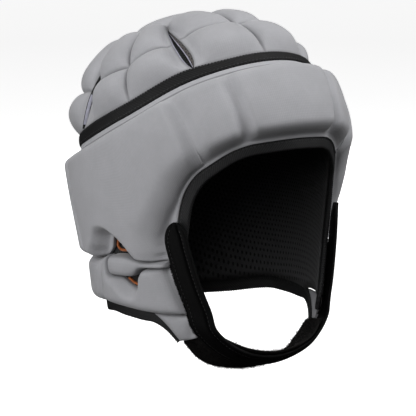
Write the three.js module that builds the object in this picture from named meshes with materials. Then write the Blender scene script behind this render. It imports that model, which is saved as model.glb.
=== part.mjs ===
// Padded headgear: foam panels sewn over a mesh lining, with an elastic band round the crown,
// slit vents between the crown panels, an ear opening on each side and a chin strap.
// Millimetres, +Z up, the face towards -Y and the wearer's right hand towards -X.
// The origin is the inside top of the crown, where the headgear sits on a head.
import * as THREE from 'three';

// Head form that the shell is fitted to, measured from the middle of its dome
const HEAD = {
  halfBreadth: 80, front: 100, back: 106, dome: 80,
  crownLean: 10, // the top of the dome lies this far in front of its middle
  drop: 160, sideTaper: 18, frontTaper: 16, // how the walls draw in below the dome
  nape: 100, napeTaper: 32, // how the back of the head draws in to the nape
};
const CROWN_TILT = 29; // degrees that the axis of the crown seams leans back

// Heights above the head form
const LINING = { inner: 0, outer: 1.2, inset: 1.2 }; // inset in degrees, back from the bound edge
const PANEL_INNER = 2;
const FLANGE = 4.4; // sewn margin round each pad
const SEAM_GAP = 0.2; // each piece stops this far short of its seam

// Rise of the pads above their flange
const RISE = {
  crownFront: 9, crown: 10.2, cap: 7.6, forehead: 10.8, temple: 12.6, back: 13.4,
  nape: 9, jaw: 8, tab: 2.4, bar: 8,
};
const TEMPLE_GROOVE_RISE = 7; // foam in the groove between forehead and temple
const JAW_BORDER_RISE = 6.6; // foam along the border between nape and jaw

// Crown seams run down from a round cap to the band: degrees from the tilted pole
const CAP_EDGE = 22;
const CROWN_RING = 49;
const BAND = { top: 73.2, bottom: 79.8, inner: 2, outer: 4.6, crown: 0.5 };
const RING_END = 100; // from here down the rings are true circles again

// Bound edges and straps
const FACE_BINDING = { width: 7.5, thickness: 3.5 };
const NECK_BINDING = { width: 8.5, tipWidth: 3.5, taper: 0.12, thickness: 3.5 };
const STRAP = { width: 19, thickness: 3.4, rest: 6.4, tip: 16, edge: 0.12, stations: 48 };
const CHIN_CUP = { thickness: 3, gap: 0.3, firstStation: 14 };
const PIPING = { radius: 1, height: 2.4, sides: 5, steps: 8 };
const STRAP_HUB = new THREE.Vector3(0, -21, -40); // the strap faces away from this point

const FINISH = {
  foam: { color: 0x9c9ca0, roughness: 0.75 },
  webbing: { color: 0x17171b, roughness: 0.85 },
  strap: { color: 0x121215, roughness: 0.7 },
  loop: { color: 0x0c0c0e, roughness: 0.95 },
  mesh: { color: 0x1b1a1c, roughness: 0.9 },
  piping: { color: 0xc2560c, roughness: 0.6 },
};

// Rows of numbers under named columns
function table(columns, rows) {
  const named = (row) => Object.fromEntries(columns.map((column, i) => [column, row[i]]));
  return rows.map(named);
}

// Where the crown's rings stray from circles: the turn in the middle of each move, how far it reaches,
// over how many degrees it fades, and how far the pillows' ring and the band's two edges move
const RING_MOVES = table(['middle', 'reach', 'fade', 'pillows', 'bandTop', 'bandBottom'], [
  [180, 90, 60, 4, -3.4, -5.6],
  [68, 36, 36, 0, 2, 1.8],
  [0, 46, 30, 0, 2.2, 0.2],
]);

// Face opening, from the middle of the forehead down the wearer's right cheek
const FACE_EDGE = table(['turn', 'height', 'lip', 'bevel'], [
  [0, 10, 2.4, 8.5],
  [13.6, 9, 2.4, 8.5],
  [23.5, 7, 2.4, 8.5],
  [32, 2.2, 2.4, 8.5],
  [42.3, -8.5, 2.5, 13],
  [46.1, -13.6, 2.5, 15],
  [50.6, -23.6, 2.5, 16],
  [53.3, -35, 3, 16],
  [55, -50, 7, 17],
  [56, -62, 8.8, 22],
  [56.2, -74, 8.8, 22],
  [55.4, -80.2, 8, 16],
  [52.5, -94, 7, 14],
  [46.5, -113.2, 7, 12],
  [47, -121, 6, 6],
  [48, -130, 4, 6],
]);
const TEMPLE_START = 4; // rows of the face edge where each panel meets it
const TEMPLE_END = 10;
const JAW_START = 11;
const JAW_END = 13;

// Lower edge of the temple pad, from the cheek round the ear arch to the back.
// Scoop is 0 where the bevel is round and 1 or more where it is hollow.
const TEMPLE_FOOT = table(['turn', 'height', 'lip', 'bevel', 'scoop'], [
  [62, -75.6, 0, 4.5, 0],
  [68, -76.5, 0, 4.5, 0],
  [73, -76, 0, 3.5, 0],
  [75.6, -71, 0, 3.5, 0],
  [79, -65.6, 0, 3.5, 0],
  [84, -61.6, 0, 4, 0.3],
  [88.6, -62.6, 1, 6.5, 1],
  [91, -67, 1.5, 10, 1.4],
  [92, -73, 1.5, 11, 1.4],
  [97, -79, 1, 9, 1],
  [103, -82.2, 0, 7, 0],
  [110, -82.5, 0, 7, 0],
]);
const TEMPLE_GROOVE = table(['turn', 'height'], [[53.9, 26.7], [49.1, 17], [43.6, -0.7]]);
const TEMPLE_GROOVE_TOP = 46.5; // turn where the groove leaves the band
const BACK_CREASE = table(['turn', 'height'], [[120.6, -19.2], [119.8, -43], [114, -67]]);
const BACK_CREASE_TOP = 126;
const FOREHEAD_SPLIT = 0.515; // grooves of the forehead, as a share of its half width

// Ear bar, from the cheek to the back of the ear
const BAR_TOP = table(['turn', 'height', 'lip', 'bevel'], [
  [57.2, -74.4, 0, 0.9],
  [62, -75.7, 0, 0.9],
  [68, -76.6, 0, 1.1],
  [73.5, -76.3, 0, 2],
  [80, -75.2, 0, 3],
  [86, -76, 0, 3],
  [89.5, -77, 0, 3],
  [92.2, -78.2, 0, 3],
]);
const BAR_FOOT = table(['turn', 'height', 'lip', 'bevel'], [
  [57.2, -79.8, 0, 0.9],
  [62, -80.3, 0, 0.9],
  [68, -81.4, 0, 1.1],
  [72.4, -82.9, 0, 2],
  [74.8, -88, 0, 3],
  [79, -90.4, 0, 4],
  [84.5, -91.4, 0, 4],
  [88.6, -92, 0, 4],
  [92.2, -92.2, 0, 4],
]);

// Jaw pad: its upper edge runs below the ear bar, round the lower window and up behind the bar
const JAW_TOP = table(['turn', 'height', 'lip', 'bevel', 'scoop'], [
  [55.4, -80, 0, 5, 0],
  [58.6, -80.2, 0, 5, 0],
  [62, -80.4, 0, 5, 0],
  [67, -81.4, 0, 5, 0],
  [71.6, -83.2, 0, 4, 0],
  [73.6, -87, 0, 3.5, 0],
  [74.4, -92, 0, 3, 0],
  [75, -97.2, 0, 3.5, 0],
  [77.6, -99, 0.5, 6, 0.6],
  [81.6, -97.4, 0.5, 9, 0.9],
  [86, -93.4, 0, 9, 0.9],
  [89.6, -93, 0, 6, 0.5],
  [91.8, -93, 0, 4, 0.2],
  [92.9, -91, 0, 3, 0],
  [93.1, -83, 0, 3, 0],
  [94, -78.2, 0, 4, 0],
  [98.2, -81.2, 0, 4, 0],
]);
const JAW_FOOT = table(['turn', 'height', 'lip', 'bevel'], [
  [46.5, -113.2, 0, 6],
  [56, -113.8, 0, 6],
  [69.7, -114.6, 0, 7],
  [85, -114.4, 0, 8],
  [101.3, -114.4, 0, 7],
]);

// Lower edges at the back of the head and the edge round the neck
const BACK_FOOT = table(['turn', 'height'], [[110, -82.5], [130, -86], [180, -88]]);
const NAPE_TOP = table(['turn', 'height'], [
  [98.4, -81.2], [104, -83.2], [112, -83.4], [130, -86.4], [180, -88.4],
]);
const NAPE_FRONT = table(['turn', 'height'], [[98.4, -81.2], [101.5, -114.6]]);
const NAPE_FOOT = table(['turn', 'height'], [
  [101.5, -114.6], [110, -116], [118, -118], [130, -121], [146, -123], [163, -123.8], [180, -124],
]);
const NECK_EDGE = table(['turn', 'height'], [
  [57, -134], [64.5, -122], [71.5, -116.2], [80, -115], [94, -114.7], ...NAPE_FOOT.map(Object.values),
]);
const NECK_START = 2; // row of the neck edge where it leaves the jaw tab
const TAB_TOP = table(['turn', 'height'], [[58, -114.4], [70, -115.4]]);
const TAB_REAR = table(['turn', 'height'], [[70, -115.4], [64.2, -122], [56.6, -134.2]]);
const TAB_GAP = 0.6; // the tab hangs this far below the jaw pad

// Slit vents: half opening and flat lip along each seam, from the cap down to the band
const FRONT_SLIT = table(['turn', 'fall', 'open', 'lip'], [
  [45, CAP_EDGE, 0, 0],
  [44.2, 30, 0.2, 1],
  [40.8, 42, 1.7, 4],
  [38, 53, 3.4, 5],
  [36.3, 60, 4, 5],
  [35, 66, 4, 5],
  [34.2, 70.5, 2.4, 5],
  [33.6, BAND.top, 0, 4],
]);
const SIDE_SLIT = table(['turn', 'fall', 'open', 'lip'], [
  [103, CAP_EDGE, 0, 0],
  [104.5, 36, 0, 0],
  [106.5, 47, 1, 2],
  [109, 57, 3.4, 5],
  [111.5, 65, 4, 6],
  [115, 70, 2.6, 6],
  [118.5, BAND.top, 0, 4],
]);
const CROWN_BEVEL = 15;
const SIDE_SPLIT = 0.44; // groove down the side panel, as a share of its width

// Piping round the lower borders of the ear openings
const UPPER_PIPING = table(['turn', 'height'], [
  [87.6, -64.8], [89.2, -68], [89.6, -72], [87.6, -73.9], [80.4, -72.6],
]);
const LOWER_PIPING = table(['turn', 'height'], [[84, -93.7], [80.6, -96.3], [77.4, -97.5]]);

// Chin strap from the right cheek to the middle of the chin, on the wall and then free
const STRAP_WALL = table(['turn', 'height'], [
  [55.2, -47], [55, -60], [53, -74], [49.8, -91.5], [46, -108], [42.5, -124],
]);
const CUP_EDGES = table(['share', 'front', 'rear'], [ // of the strap's length, and across from its middle
  [14 / 48, 15, 26], [15 / 48, -5, 29], [0.34, -8, 32], [0.37, -10.5, 32], [0.43, -12.5, 28.5],
  [0.5, -12.5, 27],
]);
const STRAP_CHIN = table(['x', 'y', 'z'], [[-31, -77, -143], [0, -78, -150]]);

// Points and directions on the head form

const radians = THREE.MathUtils.degToRad;

// How far the head form reaches from its middle to the front or the back at a height
function reach(height, ahead) {
  const drop = Math.max(-height, 0) / HEAD.drop;
  const nape = THREE.MathUtils.smoothstep(-height, 0, HEAD.nape);
  return ahead ? HEAD.front - HEAD.frontTaper * drop ** 2 : HEAD.back - HEAD.napeTaper * nape;
}

function headField(p) {
  const drop = Math.max(-p.z, 0) / HEAD.drop;
  const rise = Math.max(p.z, 0) / HEAD.dome;
  const across = HEAD.halfBreadth - HEAD.sideTaper * drop ** 2;
  const depth = p.y + HEAD.crownLean * rise ** 2;
  return (p.x / across) ** 2 + (depth / reach(p.z, depth < 0)) ** 2 + rise ** 2 - 1;
}

// The point where a ray from the middle of the dome meets the head form
function onHead(direction) {
  const ray = direction.clone().normalize();
  let [near, far] = [0, 2 * HEAD.drop];
  for (let step = 0; step < 40; step += 1) {
    const middle = (near + far) / 2;
    if (headField(ray.clone().multiplyScalar(middle)) < 0) near = middle;
    else far = middle;
  }
  return ray.multiplyScalar(near);
}

function headNormal(p) {
  const step = 0.5;
  const slope = (axis) => {
    const ahead = p.clone();
    const behind = p.clone();
    ahead[axis] += step;
    behind[axis] -= step;
    return headField(ahead) - headField(behind);
  };
  return new THREE.Vector3(slope('x'), slope('y'), slope('z')).normalize();
}

const raised = (p, height) => p.clone().addScaledVector(headNormal(p), height);

// Turn is degrees from the front towards the wearer's right; height is above the dome's middle
function wallPoint({ turn, height }) {
  const rise = Math.max(height, 0) / HEAD.dome;
  const drop = Math.max(-height, 0) / HEAD.drop;
  const shrink = Math.sqrt(1 - rise ** 2);
  const ahead = Math.cos(radians(turn)) > 0;
  return new THREE.Vector3(
    -(HEAD.halfBreadth - HEAD.sideTaper * drop ** 2) * shrink * Math.sin(radians(turn)),
    -reach(height, ahead) * shrink * Math.cos(radians(turn)) - HEAD.crownLean * rise ** 2,
    height,
  );
}

// A value that runs straight from one stop to the next, and stays as it is beyond the ends
function between(value, stops, values) {
  const i = stops.findIndex((stop) => value < stop);
  if (i <= 0) return i === 0 ? values[0] : values.at(-1);
  const share = (value - stops[i - 1]) / (stops[i] - stops[i - 1]);
  return THREE.MathUtils.lerp(values[i - 1], values[i], share);
}

// Degrees by which a ring of the crown has moved down at a turn
const RING_STOPS = [CAP_EDGE, CROWN_RING, BAND.top, BAND.bottom, RING_END];
function ringShift(turn, fall) {
  const fromFront = Math.abs(THREE.MathUtils.euclideanModulo(turn + 180, 360) - 180);
  return RING_MOVES.reduce((sum, { middle, reach: span, fade, pillows, bandTop, bandBottom }) => {
    const share = THREE.MathUtils.smoothstep(span - Math.abs(fromFront - middle), 0, fade);
    return sum + share * between(fall, RING_STOPS, [0, pillows, bandTop, bandBottom, 0]);
  }, 0);
}

// Turn as above, about the tilted axis of the crown; fall is degrees down from its pole
const SIDEWAYS = new THREE.Vector3(1, 0, 0);
function crownPoint({ turn, fall }) {
  const moved = radians(fall + ringShift(turn, fall));
  const direction = new THREE.Vector3().setFromSphericalCoords(1, moved, radians(turn));
  const upright = new THREE.Vector3(-direction.x, -direction.z, direction.y);
  return onHead(upright.applyAxisAngle(SIDEWAYS, radians(-CROWN_TILT)));
}

function crownAngles(p) {
  const upright = p.clone().normalize().applyAxisAngle(SIDEWAYS, radians(CROWN_TILT));
  return {
    turn: THREE.MathUtils.radToDeg(Math.atan2(-upright.x, -upright.y)),
    fall: THREE.MathUtils.radToDeg(Math.acos(upright.z)),
  };
}

// Seams

const SEAM_STEPS = 48;

// A smooth sewn line through places on the head form, with a flat lip and a bevel beside it.
// The bevel is round, or hollow where it is scooped, or a gentle slope.
class Seam {
  constructor(places, {
    lips = 0, bevels = CROWN_BEVEL, scoops = 0, floors = 0, slope = false,
  } = {}) {
    this.curve = new THREE.CatmullRomCurve3(places, false, 'centripetal');
    this.curve.arcLengthDivisions = 400;
    this.slope = slope;
    this.marks = [];
    for (let i = 0; i <= SEAM_STEPS; i += 1) {
      const fraction = i / SEAM_STEPS;
      this.marks.push({
        point: this.at(fraction),
        lip: this.along(lips, fraction),
        bevel: this.along(bevels, fraction),
        scoop: this.along(scoops, fraction),
        floor: this.along(floors, fraction),
      });
    }
  }

  at(fraction) {
    return onHead(this.curve.getPointAt(fraction));
  }

  // A value given for each place, read at a share of the length
  along(values, fraction) {
    if (!Array.isArray(values)) return values;
    const place = this.curve.getUtoTmapping(fraction) * (values.length - 1);
    const i = Math.min(Math.floor(place), values.length - 2);
    return THREE.MathUtils.lerp(values[i], values[i + 1], place - i);
  }

  // Shares of the length at which the places lie, each stretch cut into a number of steps
  placeShares(steps) {
    const count = Math.round((this.curve.points.length - 1) * steps);
    const lengths = this.curve.getLengths(count);
    return lengths.map((length) => length / lengths[count]);
  }

  // Rise of a pad near this seam: 0 on the lip, 1 beyond the bevel. The lowest stretch rules.
  swell(p) {
    let [inside, scoop, floor] = [1, 0, 0];
    for (let i = 0; i < SEAM_STEPS; i += 1) {
      const [from, to] = [this.marks[i], this.marks[i + 1]];
      const stretch = new THREE.Line3(from.point, to.point);
      const share = stretch.closestPointToPointParameter(p, true);
      const distance = stretch.at(share, new THREE.Vector3()).distanceTo(p);
      const margin = (name) => THREE.MathUtils.lerp(from[name], to[name], share);
      const own = Math.max((distance - margin('lip')) / margin('bevel'), 0);
      if (own < inside) [inside, scoop, floor] = [own, margin('scoop'), margin('floor')];
    }
    const round = this.slope ? Math.sin((Math.PI / 2) * inside) : Math.sqrt(1 - (1 - inside) ** 2);
    const shape = THREE.MathUtils.lerp(round, THREE.MathUtils.smoothstep(inside, 0, 1), scoop);
    return THREE.MathUtils.lerp(floor, 1, Math.max(shape, 0));
  }
}

const column = (rows, name) => rows.map((row) => row[name]);

// Places between the rows of a table, on a smooth line through their turns and heights
const BETWEEN = 3;
function smoothRows(rows) {
  const line = new THREE.CatmullRomCurve3(
    rows.map(({ turn, height }) => new THREE.Vector3(turn, height, 0)), false, 'centripetal');
  const margin = (name, place) => {
    const i = Math.min(Math.floor(place), rows.length - 2);
    const [from, to] = [rows[i], rows[i + 1]].map((row) => row[name] ?? 0);
    return THREE.MathUtils.lerp(from, to, place - i);
  };
  const count = BETWEEN * (rows.length - 1);
  return line.getPoints(count).map(({ x, y }, i) => {
    const [lip, bevel, scoop] = ['lip', 'bevel', 'scoop'].map((name) => margin(name, i / BETWEEN));
    return { turn: x, height: y, lip, bevel, scoop };
  });
}

function wallSeam(rows, margins) {
  const places = smoothRows(rows);
  const [lips, bevels, scoops] = ['lip', 'bevel', 'scoop'].map((name) => column(places, name));
  const listed = { lips, bevels, scoops };
  const own = rows[0].bevel === undefined ? {} : listed;
  return new Seam(places.map(wallPoint), { ...own, ...margins });
}

// A stretch of a circle round the crown
function ringSeam(fromTurn, toTurn, fall, margins) {
  const steps = 12;
  const places = [];
  for (let i = 0; i <= steps; i += 1) {
    places.push(crownPoint({ turn: THREE.MathUtils.lerp(fromTurn, toTurn, i / steps), fall }));
  }
  return new Seam(places, margins);
}

// One lip of a slit vent: side is +1 for the lip at the greater turn, -1 for the other
function slitSeam(rows, side, widen = 1) {
  const places = rows.map(({ turn, fall, open }) => {
    const girth = HEAD.front * Math.sin(radians(fall));
    return crownPoint({ turn: turn + side * THREE.MathUtils.radToDeg(open / girth), fall });
  });
  return new Seam(places, { lips: column(rows, 'lip').map((lip) => lip * widen) });
}

const opposite = (rows) => rows.map((row) => ({ ...row, turn: 360 - row.turn }));
const otherSide = (rows) => rows.map((row) => ({ ...row, turn: -row.turn }));
// A line drawn from the right to the middle, carried on round to the left
const wholeWay = (rows, mirror) => [...rows, ...mirror(rows).reverse().slice(1)];

// Closed solids

function solid(points, faces) {
  const geometry = new THREE.BufferGeometry();
  const numbers = points.flatMap((p) => p.toArray());
  geometry.setAttribute('position', new THREE.Float32BufferAttribute(numbers, 3));
  const corner = ([a, b, c]) => points[a].dot(points[b].clone().cross(points[c]));
  const volume = faces.reduce((sum, face) => sum + corner(face), 0);
  const outward = volume < 0 ? faces.map(([a, b, c]) => [a, c, b]) : faces;
  geometry.setIndex(outward.flat());
  geometry.computeVertexNormals();
  return geometry;
}

const quad = (a, b, c, d) => [[a, b, c], [a, c, d]];

// A thick sheet between two grids of points, closed round its border
function sheet(outer, inner) {
  const [columns, rows] = [outer.length, outer[0].length];
  const points = [...outer.flat(), ...inner.flat()];
  const top = (i, j) => i * rows + j;
  const under = (i, j) => columns * rows + top(i, j);
  const faces = [];
  for (let i = 0; i + 1 < columns; i += 1) {
    for (let j = 0; j + 1 < rows; j += 1) {
      faces.push(...quad(top(i, j), top(i + 1, j), top(i + 1, j + 1), top(i, j + 1)));
      faces.push(...quad(under(i, j), under(i, j + 1), under(i + 1, j + 1), under(i + 1, j)));
    }
    for (const [j, from, to] of [[0, i, i + 1], [rows - 1, i + 1, i]]) {
      faces.push(...quad(top(from, j), under(from, j), under(to, j), top(to, j)));
    }
  }
  for (let j = 0; j + 1 < rows; j += 1) {
    for (const [i, from, to] of [[0, j + 1, j], [columns - 1, j, j + 1]]) {
      faces.push(...quad(top(i, from), under(i, from), under(i, to), top(i, to)));
    }
  }
  return solid(points, faces);
}

// A thick dome: rings of points from the rim up to one point at the pole
function dome(outer, inner) {
  const [rings, count] = [outer.rings.length, outer.rings[0].length];
  const points = [...outer.rings.flat(), outer.pole, ...inner.rings.flat(), inner.pole];
  const half = rings * count + 1;
  const faces = [];
  for (let i = 0; i < count; i += 1) {
    const next = (i + 1) % count;
    for (let ring = 0; ring + 1 < rings; ring += 1) {
      const [low, high] = [ring * count, (ring + 1) * count];
      faces.push(...quad(low + i, low + next, high + next, high + i));
      faces.push(...quad(half + low + i, half + high + i, half + high + next, half + low + next));
    }
    const last = (rings - 1) * count;
    faces.push([last + i, last + next, half - 1], [half + last + next, half + last + i, 2 * half - 1]);
    faces.push(...quad(i, half + i, half + next, next));
  }
  return solid(points, faces);
}

// A bar through a row of like sections, closed into a ring or capped at its ends
function loft(sections, ring = false) {
  const count = sections[0].length;
  const faces = [];
  const spans = ring ? sections.length : sections.length - 1;
  for (let s = 0; s < spans; s += 1) {
    const [here, there] = [s * count, ((s + 1) % sections.length) * count];
    for (let i = 0; i < count; i += 1) {
      const next = (i + 1) % count;
      faces.push(...quad(here + i, here + next, there + next, there + i));
    }
  }
  if (!ring) {
    const end = (sections.length - 1) * count;
    for (let i = 1; i + 1 < count; i += 1) faces.push([0, i + 1, i], [end, end + i, end + i + 1]);
  }
  return solid(sections.flat(), faces);
}

// Pads

// Shares across a run of cells, closest together beside each groove
function cellSteps(splits, steps = [0, 0.1, 0.3, 0.7, 0.9]) {
  const shares = [];
  for (let i = 0; i + 1 < splits.length; i += 1) {
    for (const step of steps) shares.push(THREE.MathUtils.lerp(splits[i], splits[i + 1], step));
  }
  return [...shares, 1];
}

// A pad between four seams, swollen above its flange and drawn in along its grooves
function pad({
  top, foot, first, last, columns, rows, splitsAcross = [], splitsDown = [], rise, groove = {},
}) {
  const at = (a, b) => {
    const blend = (p, q, share) => p.clone().lerp(q, share);
    const along = blend(top.at(a), foot.at(a), b);
    const across = blend(first.at(b), last.at(b), a);
    const corners = blend(blend(top.at(0), top.at(1), a), blend(foot.at(0), foot.at(1), a), b);
    return onHead(along.add(across).sub(corners));
  };
  const ticks = [0, 0.125, 0.25, 0.375, 0.5, 0.625, 0.75, 0.875, 1];
  const grooves = [
    ...splitsAcross.map((a) => new Seam(ticks.map((b) => at(a, b)), groove)),
    ...splitsDown.map((b) => new Seam(ticks.map((a) => at(a, b)), groove)),
  ];
  const lines = [top, foot, first, last, ...grooves];
  const places = columns.map((a) => rows.map((b) => at(a, b)));
  const height = (p) => FLANGE + rise * lines.reduce((product, line) => product * line.swell(p), 1);
  const outer = places.map((line) => line.map((p) => ({ p, height: height(p) })));
  const towards = (p, q) => p.clone().addScaledVector(q.clone().sub(p).normalize(), SEAM_GAP);
  const [m, n] = [columns.length - 1, rows.length - 1];
  const inset = places.map((line, i) => line.map((p, j) => {
    let moved = p;
    if (i === 0 || i === m) moved = towards(moved, places[i === 0 ? 1 : m - 1][j]);
    if (j === 0 || j === n) moved = towards(moved, places[i][j === 0 ? 1 : n - 1]);
    return onHead(moved);
  }));
  return sheet(
    inset.map((line, i) => line.map((p, j) => raised(p, outer[i][j].height))),
    inset.map((line) => line.map((p) => raised(p, PANEL_INNER))),
  );
}

const PILLOW_ROW = { front: 0.53, side: 0.57, back: 0.64 }; // how far down each crown pad its pillows part
// The side slit's lip is wide on the side pad and narrow on the back
const SIDE_LIPS = { side: 2, back: 0.4 };
const crownPad = (first, last, fromTurns, toTurns, splits, row, rise, steps) => pad({
  top: ringSeam(fromTurns[0], toTurns[0], CAP_EDGE, { lips: 0 }),
  foot: ringSeam(fromTurns[1], toTurns[1], BAND.top, { lips: 1, slope: true }),
  first,
  last,
  columns: cellSteps([0, ...splits, 1], steps),
  rows: cellSteps([0, row, 1]),
  splitsAcross: splits,
  splitsDown: [row],
  rise,
  groove: { bevels: CROWN_BEVEL },
});

const ends = (rows) => [rows[0].turn, rows[rows.length - 1].turn];

function crownFront() {
  const far = otherSide(FRONT_SLIT);
  const sides = [slitSeam(far, 1), slitSeam(FRONT_SLIT, -1)];
  return crownPad(...sides, ends(far), ends(FRONT_SLIT), [0.5], PILLOW_ROW.front, RISE.crownFront);
}

function crownSide() {
  const sides = [slitSeam(FRONT_SLIT, 1), slitSeam(SIDE_SLIT, -1, SIDE_LIPS.side)];
  return crownPad(...sides, ends(FRONT_SLIT), ends(SIDE_SLIT), [SIDE_SPLIT], PILLOW_ROW.side, RISE.crown);
}

function crownBack() {
  const far = opposite(SIDE_SLIT);
  const sides = [slitSeam(SIDE_SLIT, 1, SIDE_LIPS.back), slitSeam(far, -1, SIDE_LIPS.back)];
  const thirds = [1 / 3, 2 / 3];
  return crownPad(...sides, ends(SIDE_SLIT), ends(far), thirds, PILLOW_ROW.back, RISE.crown, BACK_STEPS);
}

function crownCap() {
  const count = 24;
  const shares = [1, 0.9, 0.7, 0.4];
  const edge = CAP_EDGE - THREE.MathUtils.radToDeg(SEAM_GAP / HEAD.dome);
  const pole = crownPoint({ turn: 0, fall: 0 });
  const rim = ringSeam(0, 360, CAP_EDGE);
  const rings = shares.map((share) => {
    const ring = [];
    for (let i = 0; i < count; i += 1) {
      ring.push(crownPoint({ turn: (360 * i) / count, fall: edge * share }));
    }
    return ring;
  });
  const height = (p) => FLANGE + RISE.cap * rim.swell(p);
  const layer = (heightAt) => ({
    rings: rings.map((ring) => ring.map((p) => raised(p, heightAt(p)))),
    pole: raised(pole, heightAt(pole)),
  });
  return dome(layer(height), layer(() => PANEL_INNER));
}

const BELOW_BAND = { lips: 3.6, bevels: 8, slope: true };
const SOFT_GROOVE = { bevels: 7, scoops: 1, floors: [0.66, 0.66, 0.6, 0.25] };
const BACK_GROOVE = { bevels: 10, scoops: 1, floors: 0.45 };
// Shares down the wall pads, alike on all of them so that neighbours meet
const WALL_ROWS = [0, 0.06, 0.13, 0.3, 0.55, 0.74, 0.84, 0.91, 0.96, 1];
const BACK_STEPS = [0, 0.1, 0.3, 0.5, 0.7, 0.9];
const ACROSS = new THREE.Vector3(-1, 1, 1); // carries a point over to the other side of the head

// A seam from the band down the side of the head: side is +1 on the right, -1 on the left
function fallingSeam(topTurn, rows, side, margins) {
  const places = [crownPoint({ turn: topTurn, fall: BAND.bottom }), ...rows.map(wallPoint)];
  return new Seam(side < 0 ? places.map((p) => p.multiply(ACROSS)) : places, margins);
}

const templeGroove = (side, rise) => fallingSeam(
  TEMPLE_GROOVE_TOP, [...TEMPLE_GROOVE, FACE_EDGE[TEMPLE_START]], side,
  { bevels: 9, scoops: 1, floors: TEMPLE_GROOVE_RISE / rise });
const backCrease = (side) => fallingSeam(
  BACK_CREASE_TOP, [...BACK_CREASE, BACK_FOOT[0]], side, { bevels: 4, floors: 0.8 });

// The soft border between the nape and the jaw, as high on both
const jawBorder = (rise) => ({ bevels: 5, scoops: 1, floors: JAW_BORDER_RISE / rise });

function forehead() {
  const edge = FACE_EDGE.slice(0, TEMPLE_START + 1);
  const split = FOREHEAD_SPLIT / 2;
  return pad({
    top: ringSeam(-TEMPLE_GROOVE_TOP, TEMPLE_GROOVE_TOP, BAND.bottom, BELOW_BAND),
    foot: wallSeam(wholeWay(otherSide(edge).reverse(), otherSide), { slope: true }),
    first: templeGroove(-1, RISE.forehead),
    last: templeGroove(1, RISE.forehead),
    columns: cellSteps([0, 0.5 - split, 0.5 + split, 1], [0, 0.09, 0.24, 0.5, 0.76, 0.91]),
    rows: WALL_ROWS,
    splitsAcross: [0.5 - split, 0.5 + split],
    rise: RISE.forehead,
    groove: SOFT_GROOVE,
  });
}

function temple() {
  const foot = wallSeam([...FACE_EDGE.slice(TEMPLE_START, TEMPLE_END + 1), ...TEMPLE_FOOT]);
  return pad({
    top: ringSeam(TEMPLE_GROOVE_TOP, BACK_CREASE_TOP, BAND.bottom, BELOW_BAND),
    foot,
    first: templeGroove(1, RISE.temple),
    last: backCrease(1),
    columns: foot.placeShares(1 / BETWEEN),
    rows: WALL_ROWS,
    rise: RISE.temple,
  });
}

function backPad() {
  return pad({
    top: ringSeam(BACK_CREASE_TOP, 360 - BACK_CREASE_TOP, BAND.bottom, BELOW_BAND),
    foot: wallSeam(wholeWay(BACK_FOOT, opposite), { bevels: 8 }),
    first: backCrease(1),
    last: backCrease(-1),
    columns: cellSteps([0, 1 / 3, 2 / 3, 1], BACK_STEPS),
    rows: WALL_ROWS,
    splitsAcross: [1 / 3, 2 / 3],
    rise: RISE.back,
    groove: BACK_GROOVE,
  });
}

function napePad() {
  return pad({
    top: wallSeam(wholeWay(NAPE_TOP, opposite), { bevels: 8 }),
    foot: wallSeam(wholeWay(NAPE_FOOT, opposite), { bevels: 9 }),
    first: wallSeam(NAPE_FRONT, jawBorder(RISE.nape)),
    last: wallSeam(opposite(NAPE_FRONT), jawBorder(RISE.nape)),
    columns: cellSteps([0, 1 / 3, 2 / 3, 1], BACK_STEPS),
    rows: [0, 0.1, 0.3, 0.65, 0.9, 1],
    splitsAcross: [1 / 3, 2 / 3],
    rise: RISE.nape,
    groove: BACK_GROOVE,
  });
}

function jawPad() {
  const top = wallSeam(JAW_TOP);
  return pad({
    top,
    foot: wallSeam(JAW_FOOT),
    first: wallSeam(FACE_EDGE.slice(JAW_START, JAW_END + 1)),
    last: wallSeam([JAW_TOP.at(-1), JAW_FOOT.at(-1)], { lips: 0, ...jawBorder(RISE.jaw) }),
    columns: top.placeShares(1 / BETWEEN),
    rows: [0, 0.08, 0.2, 0.45, 0.75, 0.9, 1],
    rise: RISE.jaw,
  });
}

function jawTab() {
  const lowered = ({ turn, height }) => wallPoint({ turn, height: height - TAB_GAP });
  const front = FACE_EDGE.slice(JAW_END).map(lowered);
  const rear = TAB_REAR.map(wallPoint);
  const margins = { lips: 1, bevels: 6 };
  return pad({
    top: new Seam([front[0], ...TAB_TOP.map(wallPoint)], margins),
    foot: new Seam([front.at(-1), rear.at(-1)], margins),
    first: new Seam(front, { lips: 5, bevels: 11 }),
    last: new Seam(rear, margins),
    columns: [0, 0.12, 0.35, 0.65, 0.88, 1],
    rows: [0, 0.15, 0.4, 0.7, 0.88, 1],
    rise: RISE.tab,
  });
}

function earBar() {
  const side = (i, margins) => wallSeam([BAR_TOP.at(i), BAR_FOOT.at(i)], margins);
  const top = wallSeam(BAR_TOP);
  return pad({
    top,
    foot: wallSeam(BAR_FOOT),
    first: side(0, { lips: 2, bevels: 6 }),
    last: side(-1, { lips: 0, bevels: 3 }),
    columns: top.placeShares(1 / BETWEEN),
    rows: [0, 0.12, 0.4, 0.6, 0.88, 1],
    rise: RISE.bar,
  });
}

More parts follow.
